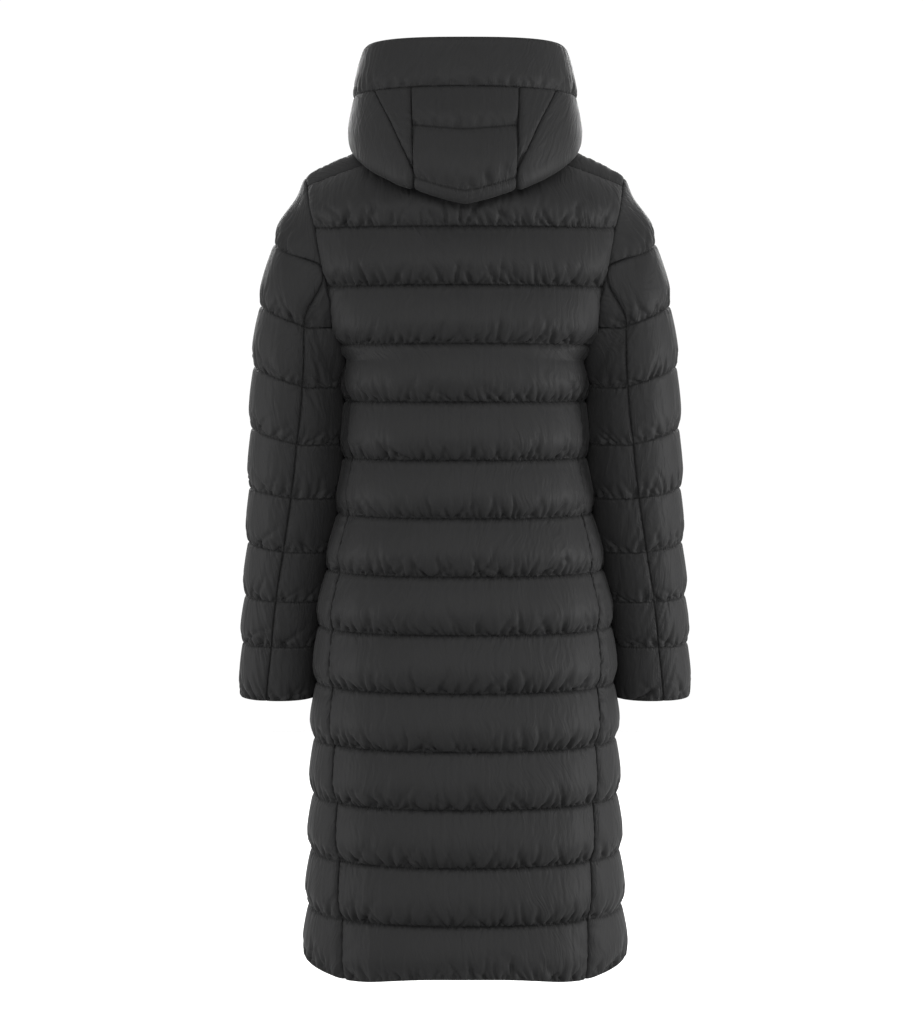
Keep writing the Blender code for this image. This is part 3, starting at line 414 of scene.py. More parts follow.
def body_half_width(z):
    """Half width of the body, which draws in quickly just under the armhole."""
    below = read_down(BODY_SECTIONS, 1, np.minimum(z, BODY_SECTIONS[0, 0]))
    return mix(CORNER_HALF_WIDTH, below, ease((CORNER_Z - z) / LIP_DROP) ** LIP_POWER)


def body_half_depth(z):
    yoke = mix(YOKE_HALF_DEPTH, CORNER_HALF_DEPTH, (YOKE_Z - z) / (YOKE_Z - CORNER_Z))
    return np.where(z >= CORNER_Z, yoke, read_down(HIP_TABLE, 2, z))


def side_x(y, z):
    """Half width of the body's section at a depth."""
    reach = 1 - (np.abs(y) / body_half_depth(z)) ** SECTION_POWER
    return body_half_width(z) * reach ** (1 / SECTION_POWER)


def panel_edge(z):
    """Where the back and front panels end, at the armhole or the side seam."""
    by_arm = armhole_point(armhole_turn(z))
    edge_y = read_down(HIP_TABLE, 3, z)
    high = z >= CORNER_Z
    return np.where(high, by_arm[..., 0], side_x(edge_y, z)), np.where(high, by_arm[..., 1], edge_y)


def neck_place(turn):
    """Where the neckline runs over the shoulder: turn 0 is at the back and pi at the front."""
    x = NECK_HALF_WIDTH * np.sin(turn)
    y = np.where(np.cos(turn) >= 0, NECK_BACK_Y, NECK_FRONT_Y) * np.cos(turn)
    return x, shoulder_turn(x, y)


def neck_point(turn):
    return shoulder_point(*neck_place(turn))


def neck_normal(turn):
    drop = NECK_BACK_DROP * np.maximum(np.cos(turn), 0) ** 2 - NECK_SIDE_RISE * np.sin(turn) ** 2
    return unit(stack(np.sin(turn), np.cos(turn), -drop))


# --- Panels ---------------------------------------------------------------
def lengths(points, axis):
    """Distance of each point from the grid's first row (axis 0) or first column (axis 1)."""
    steps = np.linalg.norm(np.diff(points, axis=axis), axis=-1)
    first = np.zeros_like(np.take(steps, [0], axis=axis))
    return np.concatenate((first, np.cumsum(steps, axis=axis)), axis=axis)


def surface_normals(points):
    """Outward normals of a grid whose rows go down and columns to the right, seen from outside."""
    return unit(np.cross(np.gradient(points, axis=0), np.gradient(points, axis=1)))


class Grid:
    """How finely a panel's cloth is divided, in metres, and for how many steps it settles."""

    def __init__(self, across, pitch, steps):
        self.across, self.pitch, self.steps = across, pitch, steps

    def columns(self, width):
        return max(LEAST_COLUMNS, round(width / self.across)) + 1

    def rows(self, length):
        return max(LEAST_ROWS, round(length / self.pitch))


class Cut:
    """A panel's plain inside surface, as rows and columns of points, and how it is quilted.

    channel is each point's place in its quilted channel, from 0 at the seam above it to
    1 at the seam below.  seams are the rows that are sewn through, and depth is the share
    of the swell that the sewing takes back there.  edge is the share that is left along
    the panel's long seams.
    """

    def __init__(self, points, channel, seams, swell, depth=SEAM_DEPTH, edge=0.0):
        self.points, self.seams, self.side_reach = points, list(seams), SIDE_REACH
        for name, value in (("channel", channel), ("swell", swell), ("depth", depth), ("edge", edge)):
            setattr(self, name, np.broadcast_to(value, points.shape[:2]).copy())
        self.normals = surface_normals(points)
        self.along, self.down = lengths(points, 1), lengths(points, 0)

    def turn(self, normals, distance):
        """Turn the cloth near an edge to the normals that it shares with its neighbour."""
        weight = (1 - ease(distance / SEAM_TURN_REACH))[..., None]
        self.normals = unit(mix(self.normals, normals, weight))

    def turn_side(self, column, normals):
        """Turn the cloth near its first (0) or last (-1) column."""
        self.turn(normals[:, None], np.abs(self.along - self.along[:, column][:, None]))

    def leave_thick(self, row):
        """Keep the padding's thickness out to an open edge: a hem, a cuff or the hood's rim."""
        distance = np.abs(self.down - self.down[row])
        self.depth = mix(OPEN_SEAM_DEPTH, self.depth, ease(distance / OPEN_REACH))

    def side_room(self):
        """Distance of each point from the nearer of the panel's long seams."""
        return np.minimum(self.along, self.along[:, -1:] - self.along)

    def channels(self):
        """The rows of each quilted channel, from the seam above it to the seam below."""
        return [slice(first, last + 1) for first, last in zip(self.seams, self.seams[1:])]

    def seam_rooms(self):
        """Distances down to the seam below and up to the seam above."""
        below, above = np.zeros(self.down.shape), np.zeros(self.down.shape)
        for rows in self.channels():
            down = self.down[rows]
            below[rows], above[rows] = down[-1] - down, down - down[0]
        return below, above

    def mirrored(self):
        """The same cut for the other side of the body."""
        flat = (getattr(self, name)[:, ::-1] for name in ("swell", "depth", "edge"))
        other = Cut(self.points[:, ::-1] * (-1, 1, 1), self.channel[:, ::-1], self.seams, *flat)
        other.normals, other.side_reach = self.normals[:, ::-1] * (-1, 1, 1), self.side_reach
        return other


def profile(channel):
    """How far a filled channel stands out, from its upper seam (0) to its lower one (1)."""
    quick = QUICK_RISE * (1 - np.exp(-channel / QUICK_RISE_REACH))
    rise = quick + (1 - quick) * (1 - np.clip(1 - channel / RISE_END, 0, 1) ** RISE_POWER)
    fall = 1 - np.clip((channel - RISE_END) / (1 - RISE_END), 0, 1) ** FALL_POWER
    return rise * fall


def rounded(distance, reach):
    """Rise from 0 at an edge like a quarter of a circle, to 1 at its reach."""
    return np.sqrt(1 - (1 - np.clip(distance / reach, 0, 1)) ** 2)


def puffed(cut):
    """Outside points of a panel before the cloth has settled."""
    edge = mix(cut.edge, 1.0, rounded(cut.side_room(), cut.side_reach))
    fill = mix(1.0, profile(cut.channel), cut.depth) * edge
    return cut.points + cut.normals * (mix(SEAM_WALL, WALL, fill) + cut.swell * fill)[..., None]


def body_section(z):
    """Half width and half depth of the section that the back and the fronts lie on."""
    depth = body_half_depth(z)
    return section_half_width(*panel_edge(z), depth), depth


def body_normal(points):
    """Level direction out of the body's section."""
    z = points[..., 2]
    half_width, depth = body_section(z)
    x_slope = signed_power(points[..., 0] / half_width, SECTION_POWER - 1) / half_width
    y_slope = signed_power(points[..., 1] / depth, SECTION_POWER - 1) / depth
    return unit(stack(x_slope, y_slope, 0 * z))


def edge_normals(edge):
    """Normals down a body panel's edge: the armhole's, and the body's own below it."""
    z = edge[:, 2]
    turn = armhole_turn(np.maximum(z, CORNER_Z)) * np.where(edge[:, 1] >= 0, 1, -1)
    by_arm = armhole_normal(turn)
    by_arm[:, 0] *= np.sign(edge[:, 0])
    below = body_normal(np.stack((edge[:, 0], edge[:, 1], np.minimum(z, CORNER_Z)), axis=-1))
    return unit(mix(by_arm, below, ease((CORNER_Z - z) / LIP_DROP)[:, None]))


def crowded(share):
    """Places from 0 to 1 that crowd towards both ends, where the seams are."""
    return share - ROW_CROWDING * np.sin(2 * pi * share) / (2 * pi)


def channel_rows(step, first=0):
    """Rows of the body below the yoke: heights, places in the channel, and the seams' numbers."""
    heights, places, seams = [], [], []
    for channel in range(first, CHANNELS_BELOW_YOKE):
        top = YOKE_Z - channel * QUILT_PITCH
        bottom = max(top - QUILT_PITCH, HEM_Z)
        count = max(LEAST_CHANNEL_ROWS, round((top - bottom) / step))
        seams.append(len(heights))
        shares = [float(crowded(i / count)) for i in range(count)]
        heights += [mix(top, bottom, share) for share in shares]
        places += shares
    return np.array(heights + [HEM_Z])[:, None], np.array(places + [1.0]), seams + [len(heights)]


def body_points(x, z, facing):
    return stack(x, facing * section_y(x, *body_section(z)), z)


def side_swell(z):
    return mix(SIDE_SWELL, LOW_SIDE_SWELL, ease((FULLER_SIDE_Z - z) / FULLER_SIDE_DROP))


def panel_swell(z, share):
    """Swell across a back or front panel, from its middle (0) to an edge (1)."""
    near_side = ease((np.abs(share) - SIDE_FADE_START) / (1 - SIDE_FADE_START))
    return mix(BACK_SWELL, side_swell(z), near_side)


def hem_droop(z):
    """How far the last channel hangs lower by the side seams at the back."""
    return HEM_DROOP * ease((HEM_Z + QUILT_PITCH - z) / QUILT_PITCH)


def seam_share(z):
    """Share of the swell that is left along the side seams, none of it by the armhole."""
    return SIDE_SEAM_SHARE * ease((CORNER_Z - z) / ARMHOLE_BLEND)


def on_side(vectors, sign):
    """Turn points or directions of the wearer's left over to the side that a sign says."""
    return stack(np.where(sign >= 0, 1.0, -1.0) * vectors[..., 0], vectors[..., 1], vectors[..., 2])


def yoked_cut(yoke, yoke_channel, yoke_seams, yoke_swell, rows, body, shares):
    """A back or front panel: a yoke over the shoulder, and the body's channels below it."""
    z, channel, seams = rows
    points = np.concatenate((yoke, body))
    yoke_swell = panel_swell(YOKE_Z, shares) * yoke_swell + np.zeros((len(yoke), 1))
    swell = np.concatenate((yoke_swell, panel_swell(z, shares)))
    channel = np.concatenate((yoke_channel, channel))[:, None]
    seams = yoke_seams + [len(yoke) + seam for seam in seams]
    return Cut(points, channel, seams, swell, edge=seam_share(points[..., 2]))


def back_cut(grid):
    """The back, from the neckline and the shoulder seams down to the hem."""
    count = grid.columns(BACK_WIDTH)
    shares = -(np.sin(np.linspace(-COLUMN_BEND, COLUMN_BEND, count)) / sin(COLUMN_BEND))[None, :]
    far = np.abs(shares)
    seam_x, seam_over = armhole_place(SEAM_END_TURN)
    turn = NECK_SEAM_TURN * np.minimum(far / NECK_SHARE, 1.0)
    neck_x, neck_over = neck_place(turn)
    along_seam = np.clip((far - NECK_SHARE) / (1 - NECK_SHARE), 0, 1)
    top_x, top_over = mix(neck_x, seam_x, along_seam), mix(neck_over, seam_over, along_seam)
    rise = np.linspace(1, 0, grid.rows(BACK_YOKE_LENGTH) + 1)[:-1, None]
    edge_x, edge_over = armhole_place(mix(YOKE_TURN, SEAM_END_TURN, rise))
    near_edge = ease((far - EDGE_BEND_START) / (1 - EDGE_BEND_START))
    x = mix(far * YOKE_EDGE_X, top_x, rise) + near_edge * (edge_x - mix(YOKE_EDGE_X, seam_x, rise))
    over = top_over * rise + near_edge * (edge_over - seam_over * rise)
    yoke = on_side(shoulder_point(x, over), shares)
    rows = channel_rows(grid.pitch)
    z = rows[0]
    body = body_points(shares * panel_edge(z)[0], z, 1)
    body[..., 2] -= hem_droop(z) * ease(far) ** 2
    cut = yoked_cut(yoke, 1 - rise[:, 0], [0], YOKE_SWELL_SHARE, rows, body, shares)
    for column in (0, -1):
        cut.turn_side(column, edge_normals(cut.points[:, column]))
    at_neck = (1 - ease((far[0] - NECK_SHARE) / NECK_TURN_SHARE))[:, None]
    shared = mix(cut.normals[0], on_side(neck_normal(turn[0]), shares[0]), at_neck)
    cut.turn(unit(shared), cut.down)
    cut.leave_thick(-1)
    return cut


def front_cut(grid):
    """The left front, from the neckline and the shoulder seam down to the hem."""
    places = 1 - (1 - np.linspace(0, 1, grid.columns(FRONT_WIDTH))[None, :]) ** FRONT_COLUMN_POWER
    yoke_rows = grid.rows(FRONT_YOKE_LENGTH) // YOKE_CHANNEL_STEPS * YOKE_CHANNEL_STEPS
    step = np.linspace(YOKE_FRONT_STEPS, 0, yoke_rows + 1)[:-1, None]
    edge_turn = mix(-YOKE_TURN, SEAM_END_TURN, step / YOKE_FRONT_STEPS)
    outer_x, outer_over = armhole_place(edge_turn)
    along_neck = np.clip((step - YOKE_CHANNEL_STEPS) / (YOKE_FRONT_STEPS - YOKE_CHANNEL_STEPS), 0, 1)
    neck_turn = mix(NECK_START_TURN, NECK_SEAM_TURN, along_neck)
    neck_x, neck_over = neck_place(neck_turn)
    start_over = neck_place(np.array(NECK_START_TURN))[1]
    by_zip = step < YOKE_CHANNEL_STEPS
    inner_x = np.where(by_zip, FRONT_EDGE_X, neck_x)
    inner_over = np.where(by_zip, mix(pi, start_over, step / YOKE_CHANNEL_STEPS), neck_over)
    yoke = shoulder_point(mix(inner_x, outer_x, places), mix(inner_over, outer_over, places))
    rows = channel_rows(grid.pitch)
    body = body_points(mix(FRONT_EDGE_X, panel_edge(rows[0])[0], places), rows[0], -1)
    place = (YOKE_FRONT_STEPS - step[:, 0]) / YOKE_CHANNEL_STEPS
    seams = [i for i, at in enumerate(place) if abs(at - round(at)) < 1e-6]
    cut = yoked_cut(yoke, place % 1.0, seams, FRONT_YOKE_SWELL_SHARE, rows, body, places)
    outer = edge_normals(cut.points[:, -1])
    outer[:len(edge_turn)] = armhole_normal(edge_turn[:, 0])
    cut.turn_side(-1, outer)
    inner = cut.normals[:, 0].copy()
    on_neck = np.flatnonzero(~by_zip[:, 0])
    inner[on_neck] = neck_normal(neck_turn[on_neck, 0])
    cut.turn_side(0, inner)
    cut.leave_thick(-1)
    return cut


def side_cut(grid):
    """The left side, from under the arm down to the hem."""
    start = float(armhole_turn(CORNER_Z))
    turns = np.linspace(2 * pi - start, start, grid.columns(SIDE_WIDTH))
    top = armhole_point(turns)
    shares = (top[:, 1] / top[-1, 1])[None, :]
    z, channel, seams = channel_rows(grid.pitch, 2)
    down = np.clip((CORNER_Z - z) / QUILT_PITCH, 0, 1)
    level = np.where(z > FIRST_SIDE_SEAM_Z, mix(top[None, :, 2], FIRST_SIDE_SEAM_Z, down), z)
    points = side_point(shares, level)
    points[..., 2] -= hem_droop(level) * np.clip(shares, 0, 1) ** 2
    drop = top[None, :, 2] - level
    points += (top - side_point(shares[0], top[:, 2]))[None] * (1 - ease(drop / LIP_DROP))[..., None]
    full = side_swell(z) * rounded(drop, SIDE_REACH)
    cut = Cut(points, channel[:, None], seams, full, SIDE_SEAM_DEPTH, seam_share(points[..., 2]))
    for column in (0, -1):
        cut.turn_side(column, edge_normals(cut.points[:, column]))
    cut.turn(armhole_normal(turns), cut.down)
    cut.leave_thick(-1)
    return cut


def side_point(share, z):
    """Points of the side, share 1 at its back seam and -1 at its front one."""
    y = read_down(HIP_TABLE, 3, z) * share
    return stack(side_x(y, z), y, z)


# --- Sleeves --------------------------------------------------------------
def sleeve_tube(angle, z):
    """Points of the left sleeve's tube: angle 0 is its back and pi / 2 its outside."""
    outer_x, inner_x, middle_y, half_depth = (read_down(SLEEVE_SECTIONS, c, z) for c in range(1, 5))
    across = signed_power(np.sin(angle), 2 / SLEEVE_SECTION_POWER)
    along = signed_power(np.cos(angle), 2 / SLEEVE_SECTION_POWER)
    x = (outer_x + inner_x) / 2 + (outer_x - inner_x) / 2 * across
    return stack(x, middle_y + half_depth * along, z)


def sleeve_cut(grid, first, last):
    """Part of the left sleeve, between two turns round the armhole."""
    count = grid.columns(SLEEVE_TOP_WIDTH if first < 0 else SLEEVE_UNDER_WIDTH)
    turns = np.linspace(first, last, count)[None, :]
    plain = pi / 2 - turns
    rows, channels = [], len(SLEEVE_QUILTING) - 1
    for channel in range(channels):
        height = SLEEVE_QUILTING[channel, 0] - SLEEVE_QUILTING[channel + 1, 0]
        steps = grid.rows(height + SLEEVE_ROW_MARGIN)
        rows += [channel + float(crowded(i / steps)) for i in range(steps)]
    rows.append(float(channels))
    row = np.array(rows)[:, None]
    low = np.minimum(row.astype(int), channels - 1)
    lean = np.radians(read_table(np.arange(channels + 1.0), SLEEVE_QUILTING[:, 2], row))
    angle = plain + lean * np.cos(plain)
    margin = np.sin(lean - OUTSIDE_MARGIN)
    outward = np.maximum(0.0, (np.sin(angle) - margin) / (1 - margin))
    start = armhole_point(turns)[..., 2]
    seam_above, seam_below = (
        np.minimum(SLEEVE_QUILTING[seam, 0] + SLEEVE_QUILTING[seam, 1] * outward, start)
        for seam in (low, low + 1))
    seam_above = np.where(low == 0, start, seam_above)
    z = mix(seam_above, seam_below, row - low)
    tube = sleeve_tube(angle, z)
    hang = ease((start - z) / ARMHOLE_BLEND)[..., None]
    points = mix(armhole_point(turns) + 0 * tube, tube, hang)
    points[..., 2] = z
    room = (seam_above - seam_below) / QUILT_PITCH
    outside = ease((np.sin(plain) - INNER_SLEEVE_END) / INNER_SLEEVE_BLEND)
    swell = mix(INNER_SLEEVE_SWELL, SLEEVE_SWELL, outside) * ease(room * ROOM_GROWTH)
    swell = swell * rounded(start - z, SLEEVE_TOP_REACH)
    depth = mix(INNER_SEAM_DEPTH, SLEEVE_SEAM_DEPTH, outside)
    seams = [rows.index(float(c)) for c in range(channels + 1)]
    cut = Cut(points, row - low, seams, swell, depth, SLEEVE_SEAM_SHARE)
    shared = armhole_normal(turns) + 0 * points
    weight = (1 - ease((start - z) / SLEEVE_TOP_REACH))[..., None]
    cut.normals = unit(mix(tube_normals(angle, z), shared, weight))
    cut.leave_thick(-1)
    return cut


def tube_normals(angle, z):
    ahead, behind = sleeve_tube(angle - NORMAL_TURN, z), sleeve_tube(angle + NORMAL_TURN, z)
    above, below = sleeve_tube(angle, z + NORMAL_DROP), sleeve_tube(angle, z - NORMAL_DROP)
    return unit(np.cross(below - above, ahead - behind))


# --- Hood -----------------------------------------------------------------
def hood_point(turn, level):
    """Points of the hood: turn 0 at the back and pi at the front, level 0 at the neckline."""
    places = np.arange(len(HOOD_LEVELS), dtype=float)
    half_width, back_y, front_y, back_z, side_z, front_z, power = (
        read_table(places, HOOD_LEVELS[:, c], level) for c in range(7))
    x = half_width * signed_power(np.sin(turn), 2 / power)
    y = np.where(np.cos(turn) >= 0, back_y, front_y) * signed_power(np.cos(turn), 2 / power)
    quarter = np.abs(turn) / (pi / 2)
    behind = mix(back_z, side_z, np.minimum(quarter, 1) ** BACK_TURN_POWER)
    z = np.where(quarter <= 1, behind, mix(side_z, front_z, ease(quarter - 1)))
    return stack(x, y, z)


def sewn_hood_point(turn, level):
    """Points of the hood, whose lowest edge is led onto the neckline."""
    neck = on_side(neck_point(np.abs(turn)), turn)
    lead = (1 - ease(level / NECK_LEAD))[..., None]
    return hood_point(turn, level) + (neck - hood_point(turn, 0 * level)) * lead


def gusset_edge(level):
    share = (level - GUSSET_TIP_LEVEL) / (BRIM_SEAM_LEVEL - GUSSET_TIP_LEVEL)
    return STRIP_TURN + GUSSET_TURN * np.maximum(0.0, share)


def hood_cut(grid, edges, width, levels, seam_levels, swell):
    """A panel of the hood between two edges, each a turn or a function of the level."""
    rows = []
    for upper, lower in zip(levels, levels[1:]):
        steps = grid.rows(abs(upper - lower) * HOOD_LEVEL_HEIGHT)
        rows += [mix(upper, lower, i / steps) for i in range(steps)]
    rows.append(levels[-1])
    level = np.array(rows)[:, None]
    share = np.linspace(0, 1, grid.columns(width))[None, :]
    first, last = (edge(level) if callable(edge) else edge + 0 * level for edge in edges)
    turn = mix(first, last, share)
    points = sewn_hood_point(turn, level + 0 * turn)
    above_seam = np.maximum(0.0, (level - BRIM_SEAM_LEVEL) / (TOP_LEVEL - BRIM_SEAM_LEVEL))
    points[..., 2] += BRIM_RISE * above_seam * np.maximum(0.0, 1 - (turn / BRIM_RISE_TURN) ** 4)
    seams = [rows.index(at) for at in levels if at in seam_levels]
    channel = np.zeros_like(level)
    for upper, lower in zip(seam_levels, seam_levels[1:]):
        inside = (level <= upper) & (level >= lower)
        channel[inside] = (upper - level[inside]) / (upper - lower)
    heights = read_table(np.array(sorted(swell)), np.array([swell[at] for at in sorted(swell)]), level)
    start, end = HOOD_SIDE_TURNS
    depth = HOOD_SEAM_DEPTH * mix(1.0, HOOD_SIDE_DEPTH, ease((np.abs(turn) - start) / (end - start)))
    cut = Cut(points, channel, seams, HOOD_SWELL * heights, depth)
    level = level + 0 * turn
    above = np.minimum(level + NORMAL_LEVEL, TOP_LEVEL)
    up = hood_point(turn, above) - hood_point(turn, level - NORMAL_LEVEL)
    across = hood_point(turn + NORMAL_TURN, level) - hood_point(turn - NORMAL_TURN, level)
    by_neck = on_side(neck_normal(np.abs(turn)), turn)
    weight = (1 - ease(level / NECK_LEAD))[..., None]
    cut.normals = unit(mix(unit(np.cross(up, across)), by_neck, weight))
    cut.side_reach = HOOD_SIDE_REACH
    if levels[0] == TOP_LEVEL:
        cut.leave_thick(0)
    return cut


# --- Settling the cloth ---------------------------------------------------
def pair(grid, down, right):
    """Two views of a grid, the second as far down and to the right of the first as is said."""
    rows, columns = grid.shape[:2]
    first = grid[:rows - down, max(0, -right):columns - max(0, right)]
    second = grid[down:, max(0, right):columns + min(0, right)]
    return first, second


LINKS = (
    # down, right, stiffness, share of the looseness across and down
    (0, 1, 0.45, 1.0),
    (1, 0, 0.45, 0.25),
    (1, 1, 0.15, 0.5),
    (1, -1, 0.15, 0.5),
    (0, 2, 0.10, 1.0),
    (2, 0, 0.16, 0.25),
    (0, 3, 0.05, 1.0),
)


def settle(outer, free, looseness, steps, push):
    """Let cloth that is cut wider than its place buckle and fill out between its seams."""
    place = outer.astype(np.float32)
    loose = looseness.astype(np.float32)
    free = free.astype(np.float32)[..., None]
    links = []
    for down, right, stiffness, share in LINKS:
        first, second = pair(place, down, right)
        first_loose, second_loose = pair(loose, down, right)
        rest = np.linalg.norm(second - first, axis=-1, keepdims=True)
        rest = rest * (1 + share * (first_loose + second_loose)[..., None] / 2)
        first_free, second_free = pair(free, down, right)
        weight = np.maximum(first_free + second_free, 1e-6)
        links.append((down, right, rest, stiffness * first_free / weight, stiffness * second_free / weight))
    for _ in range(steps):
        normals = surface_normals(place).astype(np.float32)
        place += free * normals * push
        for down, right, rest, first_share, second_share in links:
            first, second = pair(place, down, right)
            span = second - first
            length = np.maximum(np.sqrt((span * span).sum(-1, keepdims=True)), 1e-7)
            span *= (length - rest) / length
            first_move, second_move = span * first_share, span * second_share
            first += first_move
            second -= second_move
    return place.astype(float)


def fold_rows(draw, along, rise, kind):
    """Depth of a row of small folds that start at a seam and run out over the cloth."""
    spacing, shortest, longest, deepest, lean = kind
    depth = np.zeros(rise.shape)
    place = along.min() + draw.uniform(0, spacing)
    while place < along.max():
        reach, deep = draw.uniform(shortest, longest), deepest * draw.uniform(*FOLD_DEPTHS)
        slope, bend, width = draw.normal(0, lean), draw.normal(0, lean / 2), draw.uniform(*FOLD_WIDTH)
        out = np.clip(rise / reach, 0, 1)
        middle = place + (slope + bend * out) * rise
        spread = width * (1 + FOLD_SPREAD * out)
        depth += deep * np.exp(-((along - middle) / spread) ** 2) * (1 - out)
        place += spacing * draw.uniform(*FOLD_GAPS)
    return depth


def channel_room(below, above):
    """How freely cloth folds between two seams: less where they come close together."""
    return np.minimum(1.0, (below + above) / FULL_CHANNEL) ** 2


def folds(cut, seed):
    """Depth of the small folds along all of a panel's seams."""
    depth = np.zeros(cut.swell.shape)
    below, above = cut.seam_rooms()
    for number, rows in enumerate(cut.channels()):
        draw = np.random.default_rng((seed, number, FOLD_DRAW))
        for room, kind in ((below, LOW_FOLDS), (above, TOP_FOLDS)):
            depth[rows] += fold_rows(draw, cut.along[rows], room[rows], kind)
    draw = np.random.default_rng((seed, SIDE_DRAW, FOLD_DRAW))
    for room in (cut.along, cut.along[:, -1:] - cut.along):
        depth += fold_rows(draw, cut.down, room, SIDE_FOLDS)
    free = ease(np.minimum(np.minimum(below, above), cut.side_room()) / FOLD_CLEAR)
    return depth * free * np.minimum(1.0, cut.swell / FULL_SWELL) * channel_room(below, above)


def gathered(cut, outer, grid, seed):
    """The panel's outside after settling: filled out, and gathered along its seams."""
    free = np.ones(outer.shape[:2])
    free[cut.seams + [0, -1]] = 0
    free[:, (0, -1)] = 0
    below, above = cut.seam_rooms()
    gather = sum(
        amount * np.exp(-room / reach) for room, (amount, reach) in
        ((below, LOW_GATHER), (above, TOP_GATHER), (cut.side_room(), SIDE_GATHER)))
    uneven, lift = np.zeros(free.shape), np.zeros(free.shape)
    for number, rows in enumerate(cut.channels()):
        along = cut.along[rows]
        depth = np.linspace(0, 1, len(along))[:, None]
        uneven[rows], coarse, fine, streak = (
            wandering(along[(len(along) - 1) // 2], pitch, (seed, number, order))[None, :]
            for order, pitch in enumerate((GATHER_PATCH, COARSE_FOLD, FINE_FOLD, STREAK), 1))
        lift[rows] = (
            coarse * ease(depth * COARSE_GROWTH) + fine * ease(FINE_GROWTH[0] * depth - FINE_GROWTH[1])
            + STREAK_SHARE * streak)
    looseness = (gather * (1 + UNEVENNESS * uneven) + SLACK) * channel_room(below, above)
    start = outer + cut.normals * ((lift * FOLD_START - folds(cut, seed)) * free)[..., None]
    return settle(start, free, looseness, grid.steps, PUSH)


# --- Meshes ---------------------------------------------------------------
def thinned(count, step):
    """Places from 0 to count - 1, a step apart, with both ends kept."""
    places = list(range(0, count - 1, step))
    if count - 1 - places[-1] < step / 2 and len(places) > 1:
        places.pop()
    return places + [count - 1]


def quads(number, turned=False):
    """Faces between neighbours in a grid of vertex numbers."""
    corners = [number[:-1, :-1], number[1:, :-1], number[1:, 1:], number[:-1, 1:]]
    if turned:
        corners[1:] = corners[:0:-1]
    return np.stack(corners, axis=-1).reshape(-1, 4).tolist()


def wall_mesh(name, outer, inner):
    """A closed wall: fine cloth outside, plain cloth inside, joined round the edge."""
    rows, columns = outer.shape[:2]
    row_places, column_places = thinned(rows, INSIDE_STEP), thinned(columns, INSIDE_STEP)
    coarse = inner[np.ix_(row_places, column_places)]
    vertices = np.concatenate((outer.reshape(-1, 3), coarse.reshape(-1, 3)))
    number = np.arange(rows * columns).reshape(rows, columns)
    inside = rows * columns + np.arange(coarse[..., 0].size).reshape(coarse.shape[:2])
    faces = quads(number) + quads(inside, turned=True)
    for c, (first, last) in enumerate(zip(column_places, column_places[1:])):
        faces.append(number[0, first:last + 1].tolist() + [inside[0, c + 1], inside[0, c]])
        faces.append(number[-1, first:last + 1][::-1].tolist() + [inside[-1, c], inside[-1, c + 1]])
    for r, (first, last) in enumerate(zip(row_places, row_places[1:])):
        faces.append(number[first:last + 1, 0][::-1].tolist() + [inside[r, 0], inside[r + 1, 0]])
        faces.append(number[first:last + 1, -1].tolist() + [inside[r + 1, -1], inside[r, -1]])
    mesh = bpy.data.meshes.new(name)
    mesh.from_pydata(vertices.tolist(), [], [[int(v) for v in face] for face in faces])
    return mesh, vertices


def sew(context, name, cut, node, seed):
    """Sew one padded panel and put it in place of its frame node."""
    cut.swell *= context.scene.coat_cloth.fullness
    outer = puffed(cut)
    outer = gathered(cut, outer, cloth_grid(context), seed)
    mesh, vertices = wall_mesh(name, outer, cut.points)
    count = outer[..., 0].size
    flat, room = np.zeros((len(vertices), 2)), np.ones((len(vertices), 2))
    flat[:count] = np.stack((cut.along, cut.down), axis=-1).reshape(-1, 2)
    # Each point's distance to its nearest seam, for the puckers' bump and the painted shade along the seams.
    room[:count, 0] = np.minimum(cut.side_room(), np.minimum(*cut.seam_rooms())).ravel()
    corners = np.zeros(len(mesh.loops), dtype=np.int32)
    mesh.loops.foreach_get("vertex_index", corners)
    for layer_name, values in (("cloth", flat), ("seam_room", room)):
        mesh.uv_layers.new(name=layer_name).data.foreach_set("uv", values[corners].ravel())
    tidy_mesh(mesh)
    mesh.materials.append(material("shell_nylon", shell_material, context.scene.coat_look))
    piece = add_object(context.scene, name, mesh)
    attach(piece, "coat")
    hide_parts(node)


def add_object(scene, name, contents):
    made = bpy.data.objects.new(name, contents)
    scene.collection.objects.link(made)
    return made


def tidy_mesh(mesh):
    """Merge points that run together where an edge cuts across the rows."""
    work = bmesh.new()
    work.from_mesh(mesh)
    bmesh.ops.remove_doubles(work, verts=work.verts[:], dist=MERGE)
    bmesh.ops.dissolve_degenerate(work, edges=work.edges[:], dist=MERGE)
    work.to_mesh(mesh)
    work.free()
    mesh.shade_smooth()
    mesh.set_sharp_from_angle(angle=SHARP_ANGLE)


# --- Finishes -------------------------------------------------------------
class Value:
    """A socket of a shader, which Python's operators work on."""

    def __init__(self, shader, socket):
        self.shader, self.socket = shader, socket

    def join(self, operation, *parts):
        return self.shader.add("ShaderNodeMath", {"operation": operation}, dict(enumerate(parts)))

    def __add__(self, other):
        return self.join("ADD", self, other)

    def __sub__(self, other):
        return self.join("SUBTRACT", self, other)

    def __rsub__(self, other):
        return self.join("SUBTRACT", other, self)

    def __mul__(self, other):
        return self.join("MULTIPLY", self, other)

    def __pow__(self, other):
        return self.join("POWER", self, other)

    __radd__, __rmul__ = __add__, __mul__

    def sine(self):
        return self.join("SINE", self)

    def at_least(self, lowest):
        return self.join("MAXIMUM", self, lowest)


